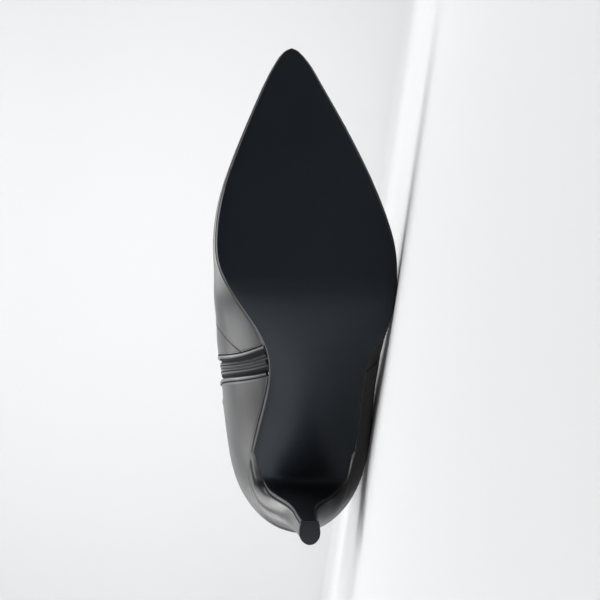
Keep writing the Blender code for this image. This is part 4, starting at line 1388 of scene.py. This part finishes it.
class BOOT_OT_heel(bpy.types.Operator):
    """Cover the slim heel in leather and set its tip under it"""

    bl_idname = "boot.heel"
    bl_label = "Heel and tip"

    def execute(self, context):
        self.cover(context.scene.boot_colours)
        self.set_tip(context.scene.boot_colours)
        return {"FINISHED"}

    def cover(self, colours):
        """The cup under the heel seat and the stem, with an eased top edge."""
        seat = heel_seat()
        sections = [section_at(at) for at in seat]
        inner = [(s.low_x, -s.rim_in, s.low_z - GAP) for s in sections]
        outer = [(s.low_x, s.rim_out, s.low_z - GAP) for s in sections]
        rings = [np.array(inner + outer[::-1])]
        _, line, looks = flap_frames()
        for row in HEEL:
            k = row.flap_row * RING_STEPS
            front = line[k] - looks[k] * (FLAP_THICK + GAP)
            back = np.array([row.back_x, 0.0, row.back_z])
            flap = FLAP[row.flap_row]
            edges = (flap.half_in + FLAP_MARGIN, flap.half_out + FLAP_MARGIN)
            roundness = np.interp(row.flap_row, ROUND_ROWS, (0.0, 1.0))
            rings.append(heel_ring(front, back, edges, row.half, flap.lean, roundness))
        fine = through(rings, np.linspace(0.0, len(rings) - 1, (len(rings) - 1) * RING_STEPS + 1))
        fine[0, :, 2] -= HEEL_EDGE[-1][1]
        top = slice(0, HEEL_EASE_ROWS * RING_STEPS)
        fine[top, 1:-1] = softened(fine[top, 1:-1], HEEL_EASE_PASSES)
        edges = []
        for inset, drop in HEEL_EDGE[:-1]:
            halves = rim_outline(seat, inset)
            flat = np.concatenate([halves[0], halves[1][::-1]])
            edges.append(np.column_stack([flat, rings[0][:, 2] - drop]))
        obj = loft("heel_cover", np.concatenate([edges, fine]))
        smooth(obj, 80.0)
        dressed(obj, "black_leather", leather(colours), nodes=("heel",))

    def set_tip(self, colours):
        """The tip under the stem, with its edges rounded."""
        flap, heel = FLAP[-1], HEEL[-1]
        edges = (flap.half_in, flap.half_out)
        rings = []
        for inset, z in TIP_EDGE:
            front, back = np.array([flap.x, 0.0, z]), np.array([heel.back_x, 0.0, z])
            rings.append(heel_ring(front, back, edges, heel.half, flap.lean, 1.0, inset))
        tip = loft("heel_tip_rubber", rings)
        smooth(tip, 35.0)
        dressed(tip, "heel_tip", tip_rubber(colours), nodes=("top_lift",))


class BOOT_OT_insole(bpy.types.Operator):
    """Line the insole inside the boot"""

    bl_idname = "boot.insole"
    bl_label = "Insole"

    def execute(self, context):
        obj = copy_of("insole", "insole_sock")
        bevel(obj, INSOLE_ROUND * MM)
        smooth(obj, 40.0)
        dressed(obj, "insole_lining", lining(context.scene.boot_colours), nodes=("insole",))
        return {"FINISHED"}


# The stage, in metres, and the camera, in standing millimetres

SWEEP_WIDE = 6.0
SWEEP_FRONT = -3.0
SWEEP_BACK = 2.6
SWEEP_ROUND = 1.2
SWEEP_HIGH = 2.6
CAMERA_AT = (123.4, -6.3, -599.9)
CAMERA_TILT = math.radians(0.55)
LENS = 79.2
SENSOR = 36.0
Softbox = namedtuple("Softbox", "name place aim wide high power spread")
LIGHTS = [
    Softbox("softbox over", (-0.4, 0.25, 1.4), (-0.1, 0.05, 0.0), 2.2, 1.0, 30.0, 180.0),
    Softbox("softbox side", (-1.9, 1.3, 1.33), (0.0, -0.2, 0.07), 2.0, 0.62, 12.0, 180.0),
    Softbox("softbox toe", (1.3, -0.1, 0.9), (0.0, -0.1, 0.05), 1.0, 1.2, 19.0, 180.0),
    Softbox("softbox low", (-1.0, -0.75, 0.16), (0.0, -0.2, 0.02), 1.6, 0.3, 7.0, 150.0),
    Softbox("softbox backdrop", (0.0, 0.6, 2.3), (0.0, 3.7, 1.0), 4.0, 1.4, 84.0, 110.0),
]
# How bright the room is along two axes: from where to where on the axis, and from what to what
ROOM_SPANS = (("Y", -0.9, -0.2, 0.01, 0.55), ("X", -0.8, 0.6, 0.5, 1.15))
ROOM_COLOUR = (0.97, 0.985, 1.0, 1.0)


class BOOT_OT_stage(bpy.types.Operator):
    """Set the pale floor and backdrop, the soft lights and the camera"""

    bl_idname = "boot.stage"
    bl_label = "Stage"

    def execute(self, context):
        self.lay_sweep(context.scene.boot_colours)
        for box in LIGHTS:
            self.hang(box)
        self.light_room(context.scene)
        self.set_camera(context.scene)
        return {"FINISHED"}

    def lay_sweep(self, colours):
        """One sheet of pale paper: floor, a wide curve up, and the wall behind."""
        turns = np.linspace(0.0, math.pi / 2, 24)
        profile = [(SWEEP_FRONT, 0.0), (0.0, 0.0)]
        for turn in turns:
            profile.append((SWEEP_BACK + SWEEP_ROUND * math.sin(turn), SWEEP_ROUND * (1.0 - math.cos(turn))))
        profile += [(SWEEP_BACK + SWEEP_ROUND, SWEEP_HIGH)]
        deselect()
        bpy.ops.mesh.primitive_grid_add(x_subdivisions=1, y_subdivisions=len(profile) - 1)
        obj = bpy.context.object
        rows = [[(side * SWEEP_WIDE, y, z) for side in (-0.5, 0.5)] for y, z in profile]
        obj.data.vertices.foreach_set("co", np.array(rows).ravel())
        obj.data.update()
        obj.name = "studio_sweep"
        smooth(obj)
        obj.data.materials.append(studio_paper(colours))

    def hang(self, box):
        deselect()
        bpy.ops.object.light_add(type="AREA", location=box.place)
        lamp = bpy.context.object
        lamp.name = box.name
        lamp.data.shape = "RECTANGLE"
        lamp.data.size = box.wide
        lamp.data.size_y = box.high
        lamp.data.energy = box.power
        lamp.data.spread = math.radians(box.spread)
        lamp.rotation_euler = (Vector(box.aim) - Vector(box.place)).to_track_quat("-Z", "Y").to_euler()

    def light_room(self, scene):
        """A bright room that is dark on the side the sole faces, and dimmer past the heel."""
        world = bpy.data.worlds.new("studio room")
        world.use_nodes = True
        tree = world.node_tree
        room = tree.nodes["Background"]
        coordinates = add_node(tree, "ShaderNodeTexCoord")
        split = add_node(tree, "ShaderNodeSeparateXYZ")
        both = add_node(tree, "ShaderNodeMath", operation="MULTIPLY")
        tree.links.new(coordinates.outputs["Generated"], split.inputs["Vector"])
        for place, (axis, *span) in enumerate(ROOM_SPANS):
            sockets = dict(zip(("From Min", "From Max", "To Min", "To Max"), span))
            ramp = add_node(tree, "ShaderNodeMapRange", sockets, interpolation_type="SMOOTHSTEP")
            tree.links.new(split.outputs[axis], ramp.inputs["Value"])
            tree.links.new(ramp.outputs["Result"], both.inputs[place])
        tree.links.new(both.outputs["Value"], room.inputs["Strength"])
        room.inputs["Color"].default_value = ROOM_COLOUR
        scene.world = world
        scene.view_settings.view_transform = "Standard"
        scene.view_settings.look = "None"

    def set_camera(self, scene):
        deselect()
        bpy.ops.object.camera_add()
        camera = bpy.context.object
        camera.name = "photo camera"
        camera.data.lens = LENS
        camera.data.sensor_width = SENSOR
        forward = Vector((0.0, math.sin(CAMERA_TILT), math.cos(CAMERA_TILT)))
        up = Vector((1.0, 0.0, 0.0))
        right = forward.cross(up)
        turn = Matrix((right, up, -forward)).transposed()
        laid_turn = (LAID.to_3x3() * (1.0 / MM)) @ turn
        camera.matrix_world = Matrix.Translation(LAID @ Vector(CAMERA_AT)) @ laid_turn.to_4x4()
        camera.data.clip_start = 0.01
        scene.camera = camera


OPERATORS = (
    BOOT_OT_upper,
    BOOT_OT_seams,
    BOOT_OT_zip_edges,
    BOOT_OT_zip,
    BOOT_OT_slider,
    BOOT_OT_outsole,
    BOOT_OT_heel,
    BOOT_OT_insole,
    BOOT_OT_stage,
)


class BOOT_PT_dressing(bpy.types.Panel):
    """The boot's pieces, in the order they are made, and what can be changed"""

    bl_idname = "BOOT_PT_dressing"
    bl_label = "Tall boot"
    bl_space_type = "VIEW_3D"
    bl_region_type = "UI"
    bl_category = "Boot"

    def draw(self, context):
        for operator in OPERATORS:
            self.layout.operator(operator.bl_idname)
        for group in (context.scene.boot_sizes, context.scene.boot_colours):
            for key in group.__annotations__:
                self.layout.prop(group, key)


CLASSES = (BootSizes, BootColours, *OPERATORS, BOOT_PT_dressing)


def register():
    for made in CLASSES:
        bpy.utils.register_class(made)
    bpy.types.Scene.boot_sizes = bpy.props.PointerProperty(type=BootSizes)
    bpy.types.Scene.boot_colours = bpy.props.PointerProperty(type=BootColours)


def unregister():
    del bpy.types.Scene.boot_sizes
    del bpy.types.Scene.boot_colours
    for made in reversed(CLASSES):
        bpy.utils.unregister_class(made)


def main():
    register()
    for step in ("stage", "upper", "seams", "zip_edges", "zip", "slider", "outsole", "heel", "insole"):
        getattr(bpy.ops.boot, step)()


if __name__ == "__main__":
    main()
